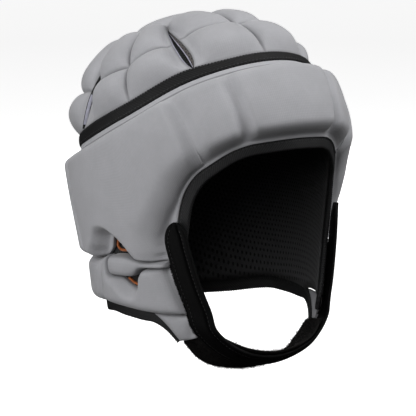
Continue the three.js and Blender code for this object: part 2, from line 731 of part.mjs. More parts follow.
// Lining: rings from the bound edge up to the pole of the crown
function headLining() {
  const face = FACE_EDGE.slice(0, JAW_END + 1);
  const neck = NECK_EDGE.slice(NECK_START);
  const right = [...face, ...neck].map(wallPoint).map(crownAngles);
  const left = right.slice(1, -1).reverse().map(({ turn, fall }) => ({ turn: 360 - turn, fall }));
  const rim = [...right, ...left].map(({ turn, fall }) => ({ turn, fall: fall - LINING.inset }));
  const shares = [1, 0.94, 0.87, 0.79, 0.7, 0.54, 0.36, 0.17];
  const shrunk = (share) => rim.map(({ turn, fall }) => crownPoint({ turn, fall: fall * share }));
  const rings = shares.map(shrunk);
  const layer = (height) => ({
    rings: rings.map((ring) => ring.map((p) => raised(p, height))),
    pole: raised(crownPoint({ turn: 0, fall: 0 }), height),
  });
  return dome(layer(LINING.outer), layer(LINING.inner));
}

// Trims

function crownBand() {
  const stations = 48;
  const middle = (BAND.top + BAND.bottom) / 2;
  const edge = THREE.MathUtils.radToDeg(SEAM_GAP / HEAD.front);
  const profile = [
    [BAND.top + edge, BAND.inner], [BAND.bottom - edge, BAND.inner], [BAND.bottom - edge, BAND.outer],
    [middle, BAND.outer + BAND.crown], [BAND.top + edge, BAND.outer],
  ];
  const sections = [];
  for (let i = 0; i < stations; i += 1) {
    const turn = (360 * i) / stations;
    sections.push(profile.map(([fall, height]) => raised(crownPoint({ turn, fall }), height)));
  }
  return loft(sections, true);
}

// Tape along an edge: across is the share of its width beyond the edge, up the share of its thickness
const FACE_STATIONS = 52;
const NECK_STATIONS = 40;
const TAPE_PROFILE = table(['across', 'up'], [
  [0, 0.05], [1, 0.05], [1.03, 0.5], [0.92, 0.9], [0.5, 1], [0, 0.95],
]);

function tape(seam, stations, outwards, width, thickness) {
  const sections = [];
  for (let i = 0; i <= stations; i += 1) {
    const share = i / stations;
    const p = seam.at(share);
    const normal = headNormal(p);
    const beyond = seam.curve.getTangentAt(share).cross(normal).normalize().multiplyScalar(outwards);
    const point = ({ across, up }) => p.clone()
      .addScaledVector(beyond, 2 * SEAM_GAP + across * width(share))
      .addScaledVector(normal, up * thickness);
    sections.push(TAPE_PROFILE.map(point));
  }
  return loft(sections);
}

function faceBinding() {
  const right = FACE_EDGE.slice(0, -1).reverse();
  const seam = wallSeam(wholeWay(right, otherSide));
  return tape(seam, FACE_STATIONS, 1, () => FACE_BINDING.width, FACE_BINDING.thickness);
}

function neckBinding() {
  const seam = wallSeam(wholeWay(NECK_EDGE, opposite));
  const width = (share) => THREE.MathUtils.lerp(
    NECK_BINDING.tipWidth,
    NECK_BINDING.width,
    THREE.MathUtils.smoothstep(Math.min(share, 1 - share), 0, NECK_BINDING.taper),
  );
  return tape(seam, NECK_STATIONS, -1, width, NECK_BINDING.thickness);
}

// Middle line of the chin strap and the frame across it
const STRAP_PATH = (() => {
  const right = [
    ...STRAP_WALL.map((row) => raised(wallPoint(row), STRAP.rest)),
    ...STRAP_CHIN.map(({ x, y, z }) => new THREE.Vector3(x, y, z)),
  ];
  const left = right.slice(0, -1).reverse().map((p) => p.clone().multiply(ACROSS));
  return new THREE.CatmullRomCurve3([...right, ...left], false, 'centripetal');
})();

// A strip beside the strap's middle line: limits gives its two edges at a share of the length
function strip(from, to, limits, low, high) {
  const sections = [];
  for (let station = from; station <= to; station += 1) {
    const share = station / STRAP.stations;
    const p = STRAP_PATH.getPointAt(share);
    const tangent = STRAP_PATH.getTangentAt(share);
    const outward = p.clone().sub(STRAP_HUB);
    outward.addScaledVector(tangent, -outward.dot(tangent)).normalize();
    const backward = tangent.clone().cross(outward);
    const [front, rear] = limits(share);
    const round = STRAP.edge * (rear - front);
    const middle = (low + high) / 2;
    const profile = [
      [front, middle], [front + round, low], [rear - round, low],
      [rear, middle], [rear - round, high], [front + round, high],
    ];
    sections.push(profile.map(([across, up]) => p.clone()
      .addScaledVector(backward, across)
      .addScaledVector(outward, up)));
  }
  return loft(sections);
}

function chinStrap() {
  const length = STRAP_PATH.getLength();
  const half = (share) => {
    const fromTip = Math.min(share, 1 - share) * length;
    const inside = THREE.MathUtils.clamp(fromTip / STRAP.tip, 0.02, 1);
    return (STRAP.width / 2) * Math.sqrt(1 - (1 - inside) ** 2);
  };
  return strip(0, STRAP.stations, (share) => [-half(share), half(share)], 0, STRAP.thickness);
}

function chinCup() {
  const { firstStation, thickness, gap } = CHIN_CUP;
  const stops = column(CUP_EDGES, 'share');
  const limits = (share) => ['front', 'rear'].map(
    (edge) => between(Math.min(share, 1 - share), stops, column(CUP_EDGES, edge)));
  return strip(firstStation, STRAP.stations - firstStation, limits, -gap - thickness, -gap);
}

function piping(rows) {
  const { sides, steps } = PIPING;
  const path = new THREE.CatmullRomCurve3(rows.map((row) => raised(wallPoint(row), PIPING.height)));
  const ring = new THREE.Shape();
  for (let i = 0; i < sides; i += 1) {
    const angle = (2 * Math.PI * i) / sides;
    const [x, y] = [PIPING.radius * Math.cos(angle), PIPING.radius * Math.sin(angle)];
    if (i === 0) ring.moveTo(x, y);
    else ring.lineTo(x, y);
  }
  return new THREE.ExtrudeGeometry(ring, { extrudePath: path, steps, bevelEnabled: false });
}

function mirrored(geometry) {
  const copy = geometry.index ? geometry.toNonIndexed() : geometry.clone();
  copy.scale(-1, 1, 1);
  const position = copy.getAttribute('position');
  const flipped = [];
  for (let i = 0; i < position.count; i += 3) {
    for (const k of [i, i + 2, i + 1]) flipped.push(position.getX(k), position.getY(k), position.getZ(k));
  }
  const result = new THREE.BufferGeometry();
  result.setAttribute('position', new THREE.Float32BufferAttribute(flipped, 3));
  result.computeVertexNormals();
  return result;
}

// Assembly, shifted so that the inside top of the dome is the origin

const headgear = new THREE.Group();
headgear.position.set(0, HEAD.crownLean, -HEAD.dome);

function add(name, geometry, finish) {
  const material = new THREE.MeshStandardMaterial({ ...FINISH[finish], metalness: 0 });
  const mesh = new THREE.Mesh(geometry, material);
  mesh.name = name;
  headgear.add(mesh);
}

function addPair(name, geometry, finish) {
  add(`${name}_right`, geometry, finish);
  add(`${name}_left`, mirrored(geometry), finish);
}

add('head_lining', headLining(), 'mesh');
add('crown_front', crownFront(), 'foam');
addPair('crown_side', crownSide(), 'foam');
add('crown_back', crownBack(), 'foam');
add('crown_cap', crownCap(), 'foam');
add('crown_band', crownBand(), 'webbing');
add('forehead_pad', forehead(), 'foam');
addPair('temple_pad', temple(), 'foam');
add('back_pad', backPad(), 'foam');
add('nape_pad', napePad(), 'foam');
addPair('ear_bar', earBar(), 'foam');
addPair('jaw_pad', jawPad(), 'foam');
addPair('jaw_tab', jawTab(), 'foam');
addPair('ear_piping_upper', piping(UPPER_PIPING), 'piping');
addPair('ear_piping_lower', piping(LOWER_PIPING), 'piping');
add('face_binding', faceBinding(), 'webbing');
add('neck_binding', neckBinding(), 'webbing');
add('chin_cup', chinCup(), 'loop');
add('chin_strap', chinStrap(), 'strap');

export default headgear;
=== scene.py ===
# %% [markdown]
# # Padded headgear
# Soft headgear for sport: foam pads sewn over a mesh lining, a woven band round the crown, bound
# edges and a chin strap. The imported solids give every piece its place. This lesson makes the surface
# that a hand would feel: the swell of each pad, the weave, the stitches and the fuzz of the loop pile.
# Lengths in the tables are millimetres, measured from the middle of the dome of the head.

# %% Load the frame
import math

import bmesh
import bpy
import numpy as np
from mathutils import Matrix, Vector


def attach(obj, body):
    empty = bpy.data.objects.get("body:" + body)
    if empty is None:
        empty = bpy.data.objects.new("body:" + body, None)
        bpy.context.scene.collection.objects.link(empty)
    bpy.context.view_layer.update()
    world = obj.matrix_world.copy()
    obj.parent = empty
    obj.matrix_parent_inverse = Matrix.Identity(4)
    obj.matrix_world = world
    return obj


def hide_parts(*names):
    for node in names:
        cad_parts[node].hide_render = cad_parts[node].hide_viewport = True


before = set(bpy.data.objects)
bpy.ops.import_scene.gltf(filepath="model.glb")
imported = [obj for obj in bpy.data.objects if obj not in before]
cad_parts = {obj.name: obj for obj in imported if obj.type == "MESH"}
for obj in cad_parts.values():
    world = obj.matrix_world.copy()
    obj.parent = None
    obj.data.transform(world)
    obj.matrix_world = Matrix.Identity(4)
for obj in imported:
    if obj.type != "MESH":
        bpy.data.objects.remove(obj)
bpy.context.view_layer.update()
MM = 0.001

# %% [markdown]
# ## The camera
# A long lens from a little above eye height, turned to the wearer's right. Setting the camera first
# means that every later test render can be laid over the reference picture.

# %% Camera
AZIMUTH = math.radians(-35.5)
ELEVATION = math.radians(10)
DISTANCE = 1.7
AIM = Vector((0, 0.010, -0.133))
VIEW_WIDTH = 0.3036  # width of the picture at the aim
SENSOR = 36.0


def make_camera():
    back = Vector((
        math.sin(AZIMUTH) * math.cos(ELEVATION),
        -math.cos(AZIMUTH) * math.cos(ELEVATION),
        math.sin(ELEVATION),
    ))
    data = bpy.data.cameras.new("camera")
    data.sensor_width = SENSOR
    data.lens = SENSOR * DISTANCE / VIEW_WIDTH
    camera = bpy.data.objects.new("camera", data)
    camera.location = AIM + back * DISTANCE
    camera.rotation_mode = "QUATERNION"
    camera.rotation_quaternion = (-back).to_track_quat("-Z", "Y")
    bpy.context.scene.collection.objects.link(camera)
    bpy.context.scene.camera = camera
    return camera


print("lens", round(make_camera().data.lens, 1), "mm")

# %% [markdown]
# ## The head form
# Every piece is fitted to one smooth head form: a dome above its middle, and walls below it that draw
# in towards the jaw and the nape. It could be a sculpted mesh with the pads shrink-wrapped on it. A
# formula is shorter, has no facets, and gives an exact surface normal anywhere.

# %% Head form
HALF_BREADTH, FRONT, BACK, DOME = 80, 100, 106, 80
CROWN_LEAN = 10  # the top of the dome lies this far in front of its middle
DROP, SIDE_TAPER, FRONT_TAPER = 160, 18, 16
NAPE, NAPE_TAPER = 100, 32
TO_FRAME = np.array([0, CROWN_LEAN, -DOME])
HALVINGS = 32  # of the search along a ray
SLOPE_STEP = 0.5  # half the distance over which a slope is measured


def ease(t):
    t = np.clip(t, 0, 1)
    return t * t * (3 - 2 * t)


def unit(v):
    return v / np.linalg.norm(v, axis=-1, keepdims=True)


def reach(z, ahead):
    front = FRONT - FRONT_TAPER * (np.maximum(-z, 0) / DROP) ** 2
    return np.where(ahead, front, BACK - NAPE_TAPER * ease(-z / NAPE))


def half_breadth(z):
    return HALF_BREADTH - SIDE_TAPER * (np.maximum(-z, 0) / DROP) ** 2


def head_field(p):
    """Below 0 inside the head form and above 0 outside it."""
    x, y, z = p[..., 0], p[..., 1], p[..., 2]
    rise = np.maximum(z, 0) / DOME
    depth = y + CROWN_LEAN * rise**2
    return (x / half_breadth(z)) ** 2 + (depth / reach(z, depth < 0)) ** 2 + rise**2 - 1


def on_head(p):
    """Where the rays from the middle of the dome through p meet the head form."""
    ray = unit(p)
    near = np.zeros(ray.shape[:-1])
    far = np.full(ray.shape[:-1], 2.0 * DROP)
    for _ in range(HALVINGS):
        middle = (near + far) / 2
        inside = head_field(ray * middle[..., None]) < 0
        near, far = np.where(inside, middle, near), np.where(inside, far, middle)
    return ray * near[..., None]


def head_normal(p):
    steps = SLOPE_STEP * np.eye(3)
    return unit(np.stack([head_field(p + step) - head_field(p - step) for step in steps], -1))


def raised(p, height):
    return p + head_normal(p) * np.asarray(height)[..., None]


print("girth at the brow", round(np.pi * (HALF_BREADTH + (FRONT + BACK) / 2)), "mm")

# %% Points by turn and height, and by turn and fall
CROWN_TILT = math.radians(29)  # the axis of the crown seams leans back
CAP_EDGE, CROWN_RING, BAND_TOP, BAND_FOOT = 22, 49, 73.2, 79.8  # rings, in degrees from the crown's pole
RINGS = (CAP_EDGE, CROWN_RING, BAND_TOP, BAND_FOOT, 100)
RING_MOVES = [  # turn in the middle of the move, its extent and fade, and degrees by which each ring moves
    (180, 90, 60, (0, 4, -3.4, -5.6, 0)),
    (68, 36, 36, (0, 0, 2.0, 1.8, 0)),
    (0, 46, 30, (0, 0, 2.2, 0.2, 0)),
]


def wall_points(turn, height):
    """Turn in degrees from the front to the wearer's right, height above the middle of the dome."""
    turn, height = np.broadcast_arrays(np.radians(turn), np.asarray(height, float))
    rise = np.maximum(height, 0) / DOME
    shrink = np.sqrt(1 - rise**2)
    ahead = reach(height, np.cos(turn) > 0)
    y = -ahead * shrink * np.cos(turn) - CROWN_LEAN * rise**2
    return np.stack([-half_breadth(height) * shrink * np.sin(turn), y, height], -1)


def ring_shift(turn, fall):
    """Degrees by which the rings stray from circles: the band rises at the back and dips elsewhere."""
    from_front = np.abs((np.asarray(turn, float) + 180) % 360 - 180)
    moves = [
        ease((extent - np.abs(from_front - middle)) / fade) * np.interp(fall, RINGS, moved)
        for middle, extent, fade, moved in RING_MOVES
    ]
    return sum(moves)


def crown_points(turn, fall):
    """Turn as above about the leaning axis of the crown, fall in degrees down from its pole."""
    turn, fall = np.broadcast_arrays(np.radians(turn), np.radians(fall + ring_shift(turn, fall)))
    x, y, z = -np.sin(fall) * np.sin(turn), -np.sin(fall) * np.cos(turn), np.cos(fall)
    c, s = math.cos(CROWN_TILT), math.sin(CROWN_TILT)
    return on_head(np.stack([x, y * c + z * s, z * c - y * s], -1))


print("pole of the crown", crown_points(0, 0).round(1), "mm")

# %% [markdown]
# ## Seams
# A pad's shape comes from the lines it is sewn along. Each seam is a smooth line on the head form with
# a flat lip beside it and then a bevel over which the foam comes up to its full height. A quarter
# circle is the profile that a sheet takes over the edge of a cut foam block.

# %% Smooth lines
def step_lengths(line):
    return np.linalg.norm(np.diff(line, axis=0), axis=1)


def spline(places, steps=8):
    """A smooth line through places, which doesn't overshoot where they lie close together."""
    places = np.asarray(places, float)
    p = np.vstack([2 * places[0] - places[1], places, 2 * places[-1] - places[-2]])
    knots = np.sqrt(step_lengths(p))
    t = np.linspace(0, 1, steps, endpoint=False)[:, None]
    runs = []
    for i in range(len(places) - 1):
        a, b, c, d = p[i : i + 4]
        before, own, after = knots[i : i + 3]
        leave = ((b - a) / before - (c - a) / (before + own) + (c - b) / own) * own
        arrive = ((c - b) / own - (d - b) / (own + after) + (d - c) / after) * own
        cubic = 2 * t**3 - 3 * t**2
        runs.append((cubic + 1) * b - cubic * c + (t**3 - 2 * t**2 + t) * leave + (t**3 - t**2) * arrive)
    return np.vstack([*runs, places[-1:]])


def shares_of(line):
    lengths = np.r_[0, np.cumsum(step_lengths(line))]
    return lengths / lengths[-1]


def sample(line, shares, values=None):
    """The line at shares of its length, or values that belong to its places."""
    values = line if values is None else values
    own = shares_of(line)
    return np.stack([np.interp(shares, own, values[:, k]) for k in range(values.shape[1])], -1)


def gaps_along(line, p):
    """For each step of a line: its number, the share of it nearest to each point of p, and the gap."""
    for i, (start, way) in enumerate(zip(line[:-1], np.diff(line, axis=0))):
        t = np.clip((p - start) @ way / (way @ way + 1e-12), 0, 1)
        yield i, t, np.linalg.norm(p - start - t[:, None] * way, axis=1)


def nearest(line, p):
    return np.min([gap for _, _, gap in gaps_along(line, p)], axis=0)


crown_ring = crown_points(np.linspace(0, 360, 181), CROWN_RING)
print("crown ring", round(step_lengths(crown_ring).sum()), "mm round")

# %% A sewn line and the swell beside it
CROWN_BEVEL = 15
HEM_DIP, ROLLED_EDGE = 1.1, -0.7  # a border turned down into its seam, and one rolled up over a binding


class Seam:
    """A sewn line with a lip and a bevel along it. Scoops are 0 where the bevel is round and 1 where it is
    hollow. Floor is the share of the foam's height that is left over the line. Dip is how far the border
    turns down into the seam, and a flush seam has none."""

    def __init__(
        self, places, lips=0.0, bevels=CROWN_BEVEL, scoops=0.0, floor=0.0, slope=False, flush=False,
        dip=HEM_DIP,
    ):
        self.line = spline(places)
        self.points = on_head(self.line)
        steps = np.linspace(0, 1, len(self.line))
        listed = [np.atleast_1d(np.asarray(v, float)) for v in (lips, bevels, scoops, floor)]
        margins = [np.interp(steps, np.linspace(0, 1, len(v)), v) for v in listed]
        self.lip, self.bevel, self.scoop, self.floor = margins
        self.slope, self.flush = slope, flush
        self.dip = 0 if flush else dip

    def at(self, shares):
        return on_head(sample(self.line, shares))

    def length(self):
        return step_lengths(self.points).sum()

    def swell(self, p):
        """0 on the lip, 1 beyond the bevel. The step of the seam that keeps the foam lowest rules."""
        inside, scoop, floor = np.ones(len(p)), np.zeros(len(p)), np.zeros(len(p))
        listed = self.lip, self.bevel, self.scoop, self.floor
        for i, t, gap in gaps_along(self.points, p):
            lip, bevel, hollow, low = [v[i] + t * (v[i + 1] - v[i]) for v in listed]
            own = np.clip((gap - lip) / bevel, 0, 1)
            scoop, floor = np.where(own < inside, hollow, scoop), np.where(own < inside, low, floor)
            inside = np.minimum(own, inside)
        bulge = np.sin(np.pi / 2 * inside) if self.slope else np.sqrt(1 - (1 - inside) ** 2)
        return floor + (1 - floor) * np.maximum(bulge + scoop * (ease(inside) - bulge), 0)


brow_line = Seam(wall_points(np.linspace(-30, 30, 5), 20))
print("swell close to a seam", brow_line.swell(wall_points([0, 0], [23, 26])).round(2))

# %% Seams from rows of a table
BETWEEN = 3  # steps of the smooth line from one row to the next


def smooth_rows(rows):
    rows = np.asarray(rows, float)
    flat = np.c_[rows[:, :2], np.zeros(len(rows))]
    line = spline(flat, BETWEEN)[:, :2]
    steps = np.linspace(0, len(rows) - 1, len(line))
    margins = [np.interp(steps, np.arange(len(rows)), rows[:, k]) for k in range(2, rows.shape[1])]
    return np.c_[line, *margins] if margins else line


def wall_seam(rows, **margins):
    """A seam through rows of turn and height, and lip, bevel and scoop where the table has them."""
    smooth = smooth_rows(rows)
    columns = dict(zip(("lips", "bevels", "scoops"), smooth[:, 2:].T))
    return Seam(wall_points(smooth[:, 0], smooth[:, 1]), **{**columns, **margins})


def ring_seam(start, end, fall, **margins):
    return Seam(crown_points(np.linspace(start, end, 13), fall), **margins)


def slit_turn(half_open, fall):
    """Degrees of turn that half of a slit's opening takes up."""
    return np.degrees(half_open / (FRONT * np.sin(np.radians(fall))))


def slit_seam(rows, side, widen=1.0):
    """One lip of a slit vent: side is 1 for the lip at the greater turn, and widen scales the lip."""
    turn, fall, half_open, lip = np.asarray(rows, float).T
    return Seam(crown_points(turn + side * slit_turn(half_open, fall), fall), lips=lip * widen)


def mirror_rows(rows, about=0):
    """The same rows on the other side: about 0 counts turns from the front, about 360 round the back."""
    return [(about - row[0], *row[1:]) for row in rows]


def whole_way(rows, about):
    """The rows on the wearer's right and on to the left."""
    return [*rows, *mirror_rows(rows, about)[::-1][1:]]


print("foot of the band", round(ring_seam(0, 360, BAND_FOOT).length()), "mm round")

# %% [markdown]
# ## Where the seams run
# Short tables hold the lines on the wearer's right. The left side is their mirror. Turn is counted from
# the front, height from the middle of the dome, and fall from the pole of the crown. Curves drawn on the
# form by hand would do as well, but rows of numbers are easy to mirror and to mend one by one.

# %% Tables of the seams
FACE_EDGE = [  # turn, height, lip, bevel
    (0, 10, 2.4, 8.5), (13.6, 9, 2.4, 8.5), (23.5, 7, 2.4, 8.5), (32, 2.2, 2.4, 8.5),
    (42.3, -8.5, 2.5, 13), (46.1, -13.6, 2.5, 15), (50.6, -23.6, 2.5, 16), (53.3, -35, 3, 16),
    (55, -50, 7, 17), (56, -62, 8.8, 22), (56.2, -74, 8.8, 22), (55.4, -80.2, 8, 16),
    (52.5, -94, 7, 14), (46.5, -113.2, 7, 12), (47, -121, 6, 6), (48, -130, 4, 6),
]
TEMPLE_START, TEMPLE_END, JAW_START, JAW_END = 4, 10, 11, 13
TEMPLE_FOOT = [  # turn, height, lip, bevel, scoop
    (62, -75.6, 0, 4.5, 0), (68, -76.5, 0, 4.5, 0), (73, -76, 0, 3.5, 0), (75.6, -71, 0, 3.5, 0),
    (79, -65.6, 0, 3.5, 0), (84, -61.6, 0, 4, 0.3), (88.6, -62.6, 1, 6.5, 1), (91, -67, 1.5, 10, 1.4),
    (92, -73, 1.5, 11, 1.4), (97, -79, 1, 9, 1), (103, -82.2, 0, 7, 0), (110, -82.5, 0, 7, 0),
]
TEMPLE_GROOVE, TEMPLE_GROOVE_TOP = [(53.9, 26.7), (49.1, 17), (43.6, -0.7)], 46.5
BACK_CREASE, BACK_CREASE_TOP = [(120.6, -19.2), (119.8, -43), (114, -67)], 126
FOREHEAD_SPLIT = 0.515
BAR_TOP = [  # turn, height, lip, bevel
    (57.2, -74.4, 0, 0.9), (62, -75.7, 0, 0.9), (68, -76.6, 0, 1.1), (73.5, -76.3, 0, 2),
    (80, -75.2, 0, 3), (86, -76, 0, 3), (89.5, -77, 0, 3), (92.2, -78.2, 0, 3),
]
BAR_FOOT = [
    (57.2, -79.8, 0, 0.9), (62, -80.3, 0, 0.9), (68, -81.4, 0, 1.1), (72.4, -82.9, 0, 2), (74.8, -88, 0, 3),
    (79, -90.4, 0, 4), (84.5, -91.4, 0, 4), (88.6, -92, 0, 4), (92.2, -92.2, 0, 4),
]
JAW_TOP = [  # turn, height, lip, bevel, scoop
    (55.4, -80, 0, 5, 0), (58.6, -80.2, 0, 5, 0), (62, -80.4, 0, 5, 0), (67, -81.4, 0, 5, 0),
    (71.6, -83.2, 0, 4, 0), (73.6, -87, 0, 3.5, 0), (74.4, -92, 0, 3, 0), (75, -97.2, 0, 3.5, 0),
    (77.6, -99, 0.5, 6, 0.6),
    (81.6, -97.4, 0.5, 9, 0.9), (86, -93.4, 0, 9, 0.9), (89.6, -93, 0, 6, 0.5), (91.8, -93, 0, 4, 0.2),
    (92.9, -91, 0, 3, 0), (93.1, -83, 0, 3, 0), (94, -78.2, 0, 4, 0), (98.2, -81.2, 0, 4, 0),
]
JAW_FOOT = [  # turn, height, lip, bevel
    (46.5, -113.2, 0, 6), (56, -113.8, 0, 6), (69.7, -114.6, 0, 7), (85, -114.4, 0, 8),
    (101.3, -114.4, 0, 7),
]
BACK_FOOT = [(110, -82.5), (130, -86), (180, -88)]
NAPE_TOP = [(98.4, -81.2), (104, -83.2), (112, -83.4), (130, -86.4), (180, -88.4)]
NAPE_FRONT = [(98.4, -81.2), (101.5, -114.6)]
NAPE_FOOT = [(101.5, -114.6), (110, -116), (118, -118), (130, -121), (146, -123), (163, -123.8), (180, -124)]
NECK_EDGE = [(57, -134), (64.5, -122), (71.5, -116.2), (80, -115), (94, -114.7), *NAPE_FOOT]
NECK_START = 2
TAB_TOP = [(58, -114.4), (70, -115.4)]
TAB_REAR = [(70, -115.4), (64.2, -122), (56.6, -134.2)]
TAB_GAP = 0.6
FRONT_SLIT = [  # turn, fall, half opening, lip
    (45, CAP_EDGE, 0, 0), (44.2, 30, 0.2, 1), (40.8, 42, 1.7, 4), (38, 53, 3.4, 5),
    (36.3, 60, 4, 5), (35, 66, 4, 5), (34.2, 70.5, 2.4, 5), (33.6, BAND_TOP, 0, 4),
]
SIDE_SLIT = [  # turn, fall, half opening, lip
    (103, CAP_EDGE, 0, 0), (104.5, 36, 0, 0), (106.5, 47, 1, 2), (109, 57, 3.4, 5),
    (111.5, 65, 4, 6), (115, 70, 2.6, 6), (118.5, BAND_TOP, 0, 4),
]
SIDE_SPLIT = 0.44
UPPER_PIPING = [(87.6, -64.8), (89.2, -68), (89.6, -72), (87.6, -73.9), (80.4, -72.6)]
LOWER_PIPING = [(84, -93.7), (80.6, -96.3), (77.4, -97.5)]
STRAP_WALL = [(55.2, -47), (55, -60), (53, -74), (49.8, -91.5), (46, -108), (42.5, -124)]
STRAP_CHIN = [(-31, -77, -143), (0, -78, -150)]  # x, y, z
print("face edge", round(wall_seam(FACE_EDGE).length()), "mm on each side")

# %% [markdown]
# ## A pad between four seams
# A pad starts as a flat grid. Its four sides are laid on the seams, the inside is blended between them
# and cast on the head form, and the foam's height is added along the normal. The border turns down into
# the seam as sewn fabric does, and below the band a fine line is pressed into the lip, with grid rows of
# its own and painted shade along it. The grid keeps its rows, so weave directions come for free.

# %% Rows and places of a pad
GRAIN, FINEST = 2.2, 0.35  # spacing of the grid, and of its rows beside a border
FEWEST_CELLS = 4
CROWDING = 0.09  # how strongly rows crowd towards seams and grooves
CREASE_HALF = 0.6  # half width of a pressed line
CREASE_LINE = np.array([-1, 0, 1]) * CREASE_HALF
CREASE_LIP_ROWS = 4  # rows between the top seam and a pressed line
CREASE_KEEP = 0.25  # share of the pad over which rows keep their distance from the top seam


def cell_steps(splits, length):
    """Shares across cells that lie about GRAIN apart, and closer beside each seam or groove."""
    shares = []
    for start, end in zip(splits, splits[1:]):
        count = max(FEWEST_CELLS, round((end - start) * length / GRAIN))
        t = np.linspace(0, 1, count + 1)
        t = t - CROWDING * np.sin(2 * np.pi * t)
        shares.extend(start + (end - start) * t[:-1])
    hem = FINEST / length
    return np.unique(np.r_[shares, hem, 1 - hem, 1])


def pad_rows(splits, length, crease):
    """Shares down a pad. Crease is the distance of a pressed line from the top seam, or None."""
    rows = cell_steps(splits, length)
    if crease is None:
        return rows
    lip = np.linspace(FINEST, crease - 2 * CREASE_HALF, CREASE_LIP_ROWS)
    below = rows[rows > (crease + 2 * CREASE_HALF) / length]
    return np.r_[0, lip / length, (crease + CREASE_LINE) / length, below]


def laid_places(seams, a, b, crease):
    """Places at shares a along and b down a pad, blended between its seams. With a pressed line, the upper
    rows keep their distance from the top seam."""
    top, foot, first, last = seams
    both_ends = np.array([0.0, 1.0])
    u, v = np.meshgrid(a, b, indexing="ij")
    if crease is not None:
        own, longest = [np.linalg.norm(foot.at(c) - top.at(c), axis=1) for c in (a, both_ends)]
        v = v * (1 + (longest.max() / own[:, None] - 1) * (1 - ease(v / CREASE_KEEP)))
    sides = [line.at(v.ravel()).reshape(*v.shape, 3) for line in (first, last)]
    u, v = u[..., None], v[..., None]
    along = (1 - v) * top.at(a)[:, None] + v * foot.at(a)[:, None]
    across = (1 - u) * sides[0] + u * sides[1]
    (c00, c10), (c01, c11) = top.at(both_ends), foot.at(both_ends)
    corners = (1 - v) * ((1 - u) * c00 + u * c10) + v * ((1 - u) * c01 + u * c11)
    return on_head(along + across - corners)


print("rows of a pad 60 mm deep", len(pad_rows([0, 1], 60, None)))

# %% Shape of a pad
PANEL_INNER, FLANGE = 2, 4.4  # heights of a pad's underside and of its lips
SEAM_GAP, FLUSH_GAP = 0.2, 0.02  # between a seam and the border
SHALLOW = 0.4  # a groove whose floor is higher than this shows no seam
CREASE_DIP = 0.35
# painted shade: a pressed line's rows get these seam distances, so the finish darkens the cloth along it
CREASE_SHADE = np.array([0.3, 0, 0.3])  # distance from a seam that a pressed line's rows show
HELD_SWELL, HELD_GAP = 0.03, 0.6  # the cover is held down where the foam is lower or a seam nearer
GROOVE_PLACES = 9


def weave_map(u, v):
    """A map of the cloth in millimetres, from the places along it and across it."""
    return np.stack(np.meshgrid(u, v, indexing="ij"), -1)


def draw_in(seams, places, dip):
    """Draws a pad's border in from its seams and notes in dip how far it turns down. Also tells which
    places are border and which lie on a flush seam."""
    top, foot, first, last = seams
    inset = places.copy()
    border, sharp = np.zeros(dip.shape, bool), np.zeros(dip.shape, bool)
    for line, axis, edge, inner in ((first, 0, 0, 2), (last, 0, -1, -3), (top, 1, 0, 2), (foot, 1, -1, -3)):
        rows, dips, borders, sharps = [np.moveaxis(grid, axis, 0) for grid in (inset, dip, border, sharp)]
        way = rows[inner] - rows[edge]
        gap = FLUSH_GAP if line.flush else SEAM_GAP
        rows[edge] += gap * way / np.linalg.norm(way, axis=-1, keepdims=True)
        borders[edge] = True
        sharps[edge] |= line.flush
        dips[edge] = line.dip
    return on_head(inset), border, sharp


def pad_shape(top, foot, first, last, rise, across=(), down=(), groove=None, crease=None):
    """A pad between four seams. Rise is the height of its foam, across and down are shares at which grooves
    part it, and crease is the distance of a pressed line from the top seam."""
    seams = top, foot, first, last
    depth = max(first.length(), last.length())
    a = cell_steps([0, *across, 1], max(top.length(), foot.length()))
    b = pad_rows([0, *down, 1], depth, crease)
    ticks = np.linspace(0, 1, GROOVE_PLACES)
    lines = [*seams]
    lines += [Seam(laid_places(seams, np.array([s]), ticks, crease)[0], **groove) for s in across]
    lines += [Seam(laid_places(seams, ticks, np.array([s]), crease)[:, 0], **groove) for s in down]
    places = laid_places(seams, a, b, crease)
    flat = places.reshape(-1, 3)
    swell = np.prod([line.swell(flat) for line in lines], axis=0).reshape(places.shape[:2])
    sewn = [line for line in lines if line.floor.max() < SHALLOW]
    seam_gap = np.min([nearest(line.points, flat) for line in sewn], axis=0).reshape(swell.shape)
    dip = np.zeros(swell.shape)
    if crease is not None:
        pressed = np.argmin(np.abs(b - crease / depth))
        # painted shade along the pressed line; the lip rows above it get a large distance and are not
        # darkened
        dip[:, pressed], seam_gap[:, pressed - 1 : pressed + 2] = CREASE_DIP, CREASE_SHADE
        seam_gap[:, : pressed - 1] = crease
    inset, border, sharp = draw_in(seams, places, dip)
    size = [np.linalg.norm(np.diff(places, axis=k), axis=-1).sum(k).mean() for k in (0, 1)]
    return {
        "outer": raised(inset, FLANGE + rise * swell - dip),
        "inner": raised(inset, PANEL_INNER),
        "normal": head_normal(inset),
        "held": border | (swell < HELD_SWELL) | (seam_gap < HELD_GAP),
        "seam_gap": seam_gap,
        "sharp": sharp,
        "uv": weave_map(a * size[0], b * size[1]),
    }


print("lips stand", FLANGE, "mm off the head form")

# %% [markdown]
# ## The pads
# Crown pads are quilted in pillows between a round cap and the band. Below the band lie the forehead,
# temple and back pads, and below the ears the bar, the jaw pad and its tab. Each could be sculpted by
# hand. Here a pad is a list of its four seams, as on a maker's pattern, so that two neighbours share one.

# %% Crown pads
RISE = {
    "crown_front": 9, "crown": 10.2, "cap": 7.6, "forehead": 10.8, "temple": 12.6, "back": 13.4,
    "nape": 9, "jaw": 8, "tab": 2.4, "bar": 8,
}
PILLOW_ROW = {"front": 0.53, "side": 0.57, "back": 0.64}  # how far down each crown pad its pillows part
SIDE_LIPS = {"side": 2.0, "back": 0.4}  # the side slit's lip is wide on the side pad and narrow on the back
QUILT = {"bevels": CROWN_BEVEL}
CROWN_FOOT = {"lips": 1, "slope": True}
HALVES, THIRDS = [1 / 2], [1 / 3, 2 / 3]
CAP_SIDES = ((225, 135), (315, 405), (225, 315), (135, 45))  # turns at the ends of each quarter of its ring


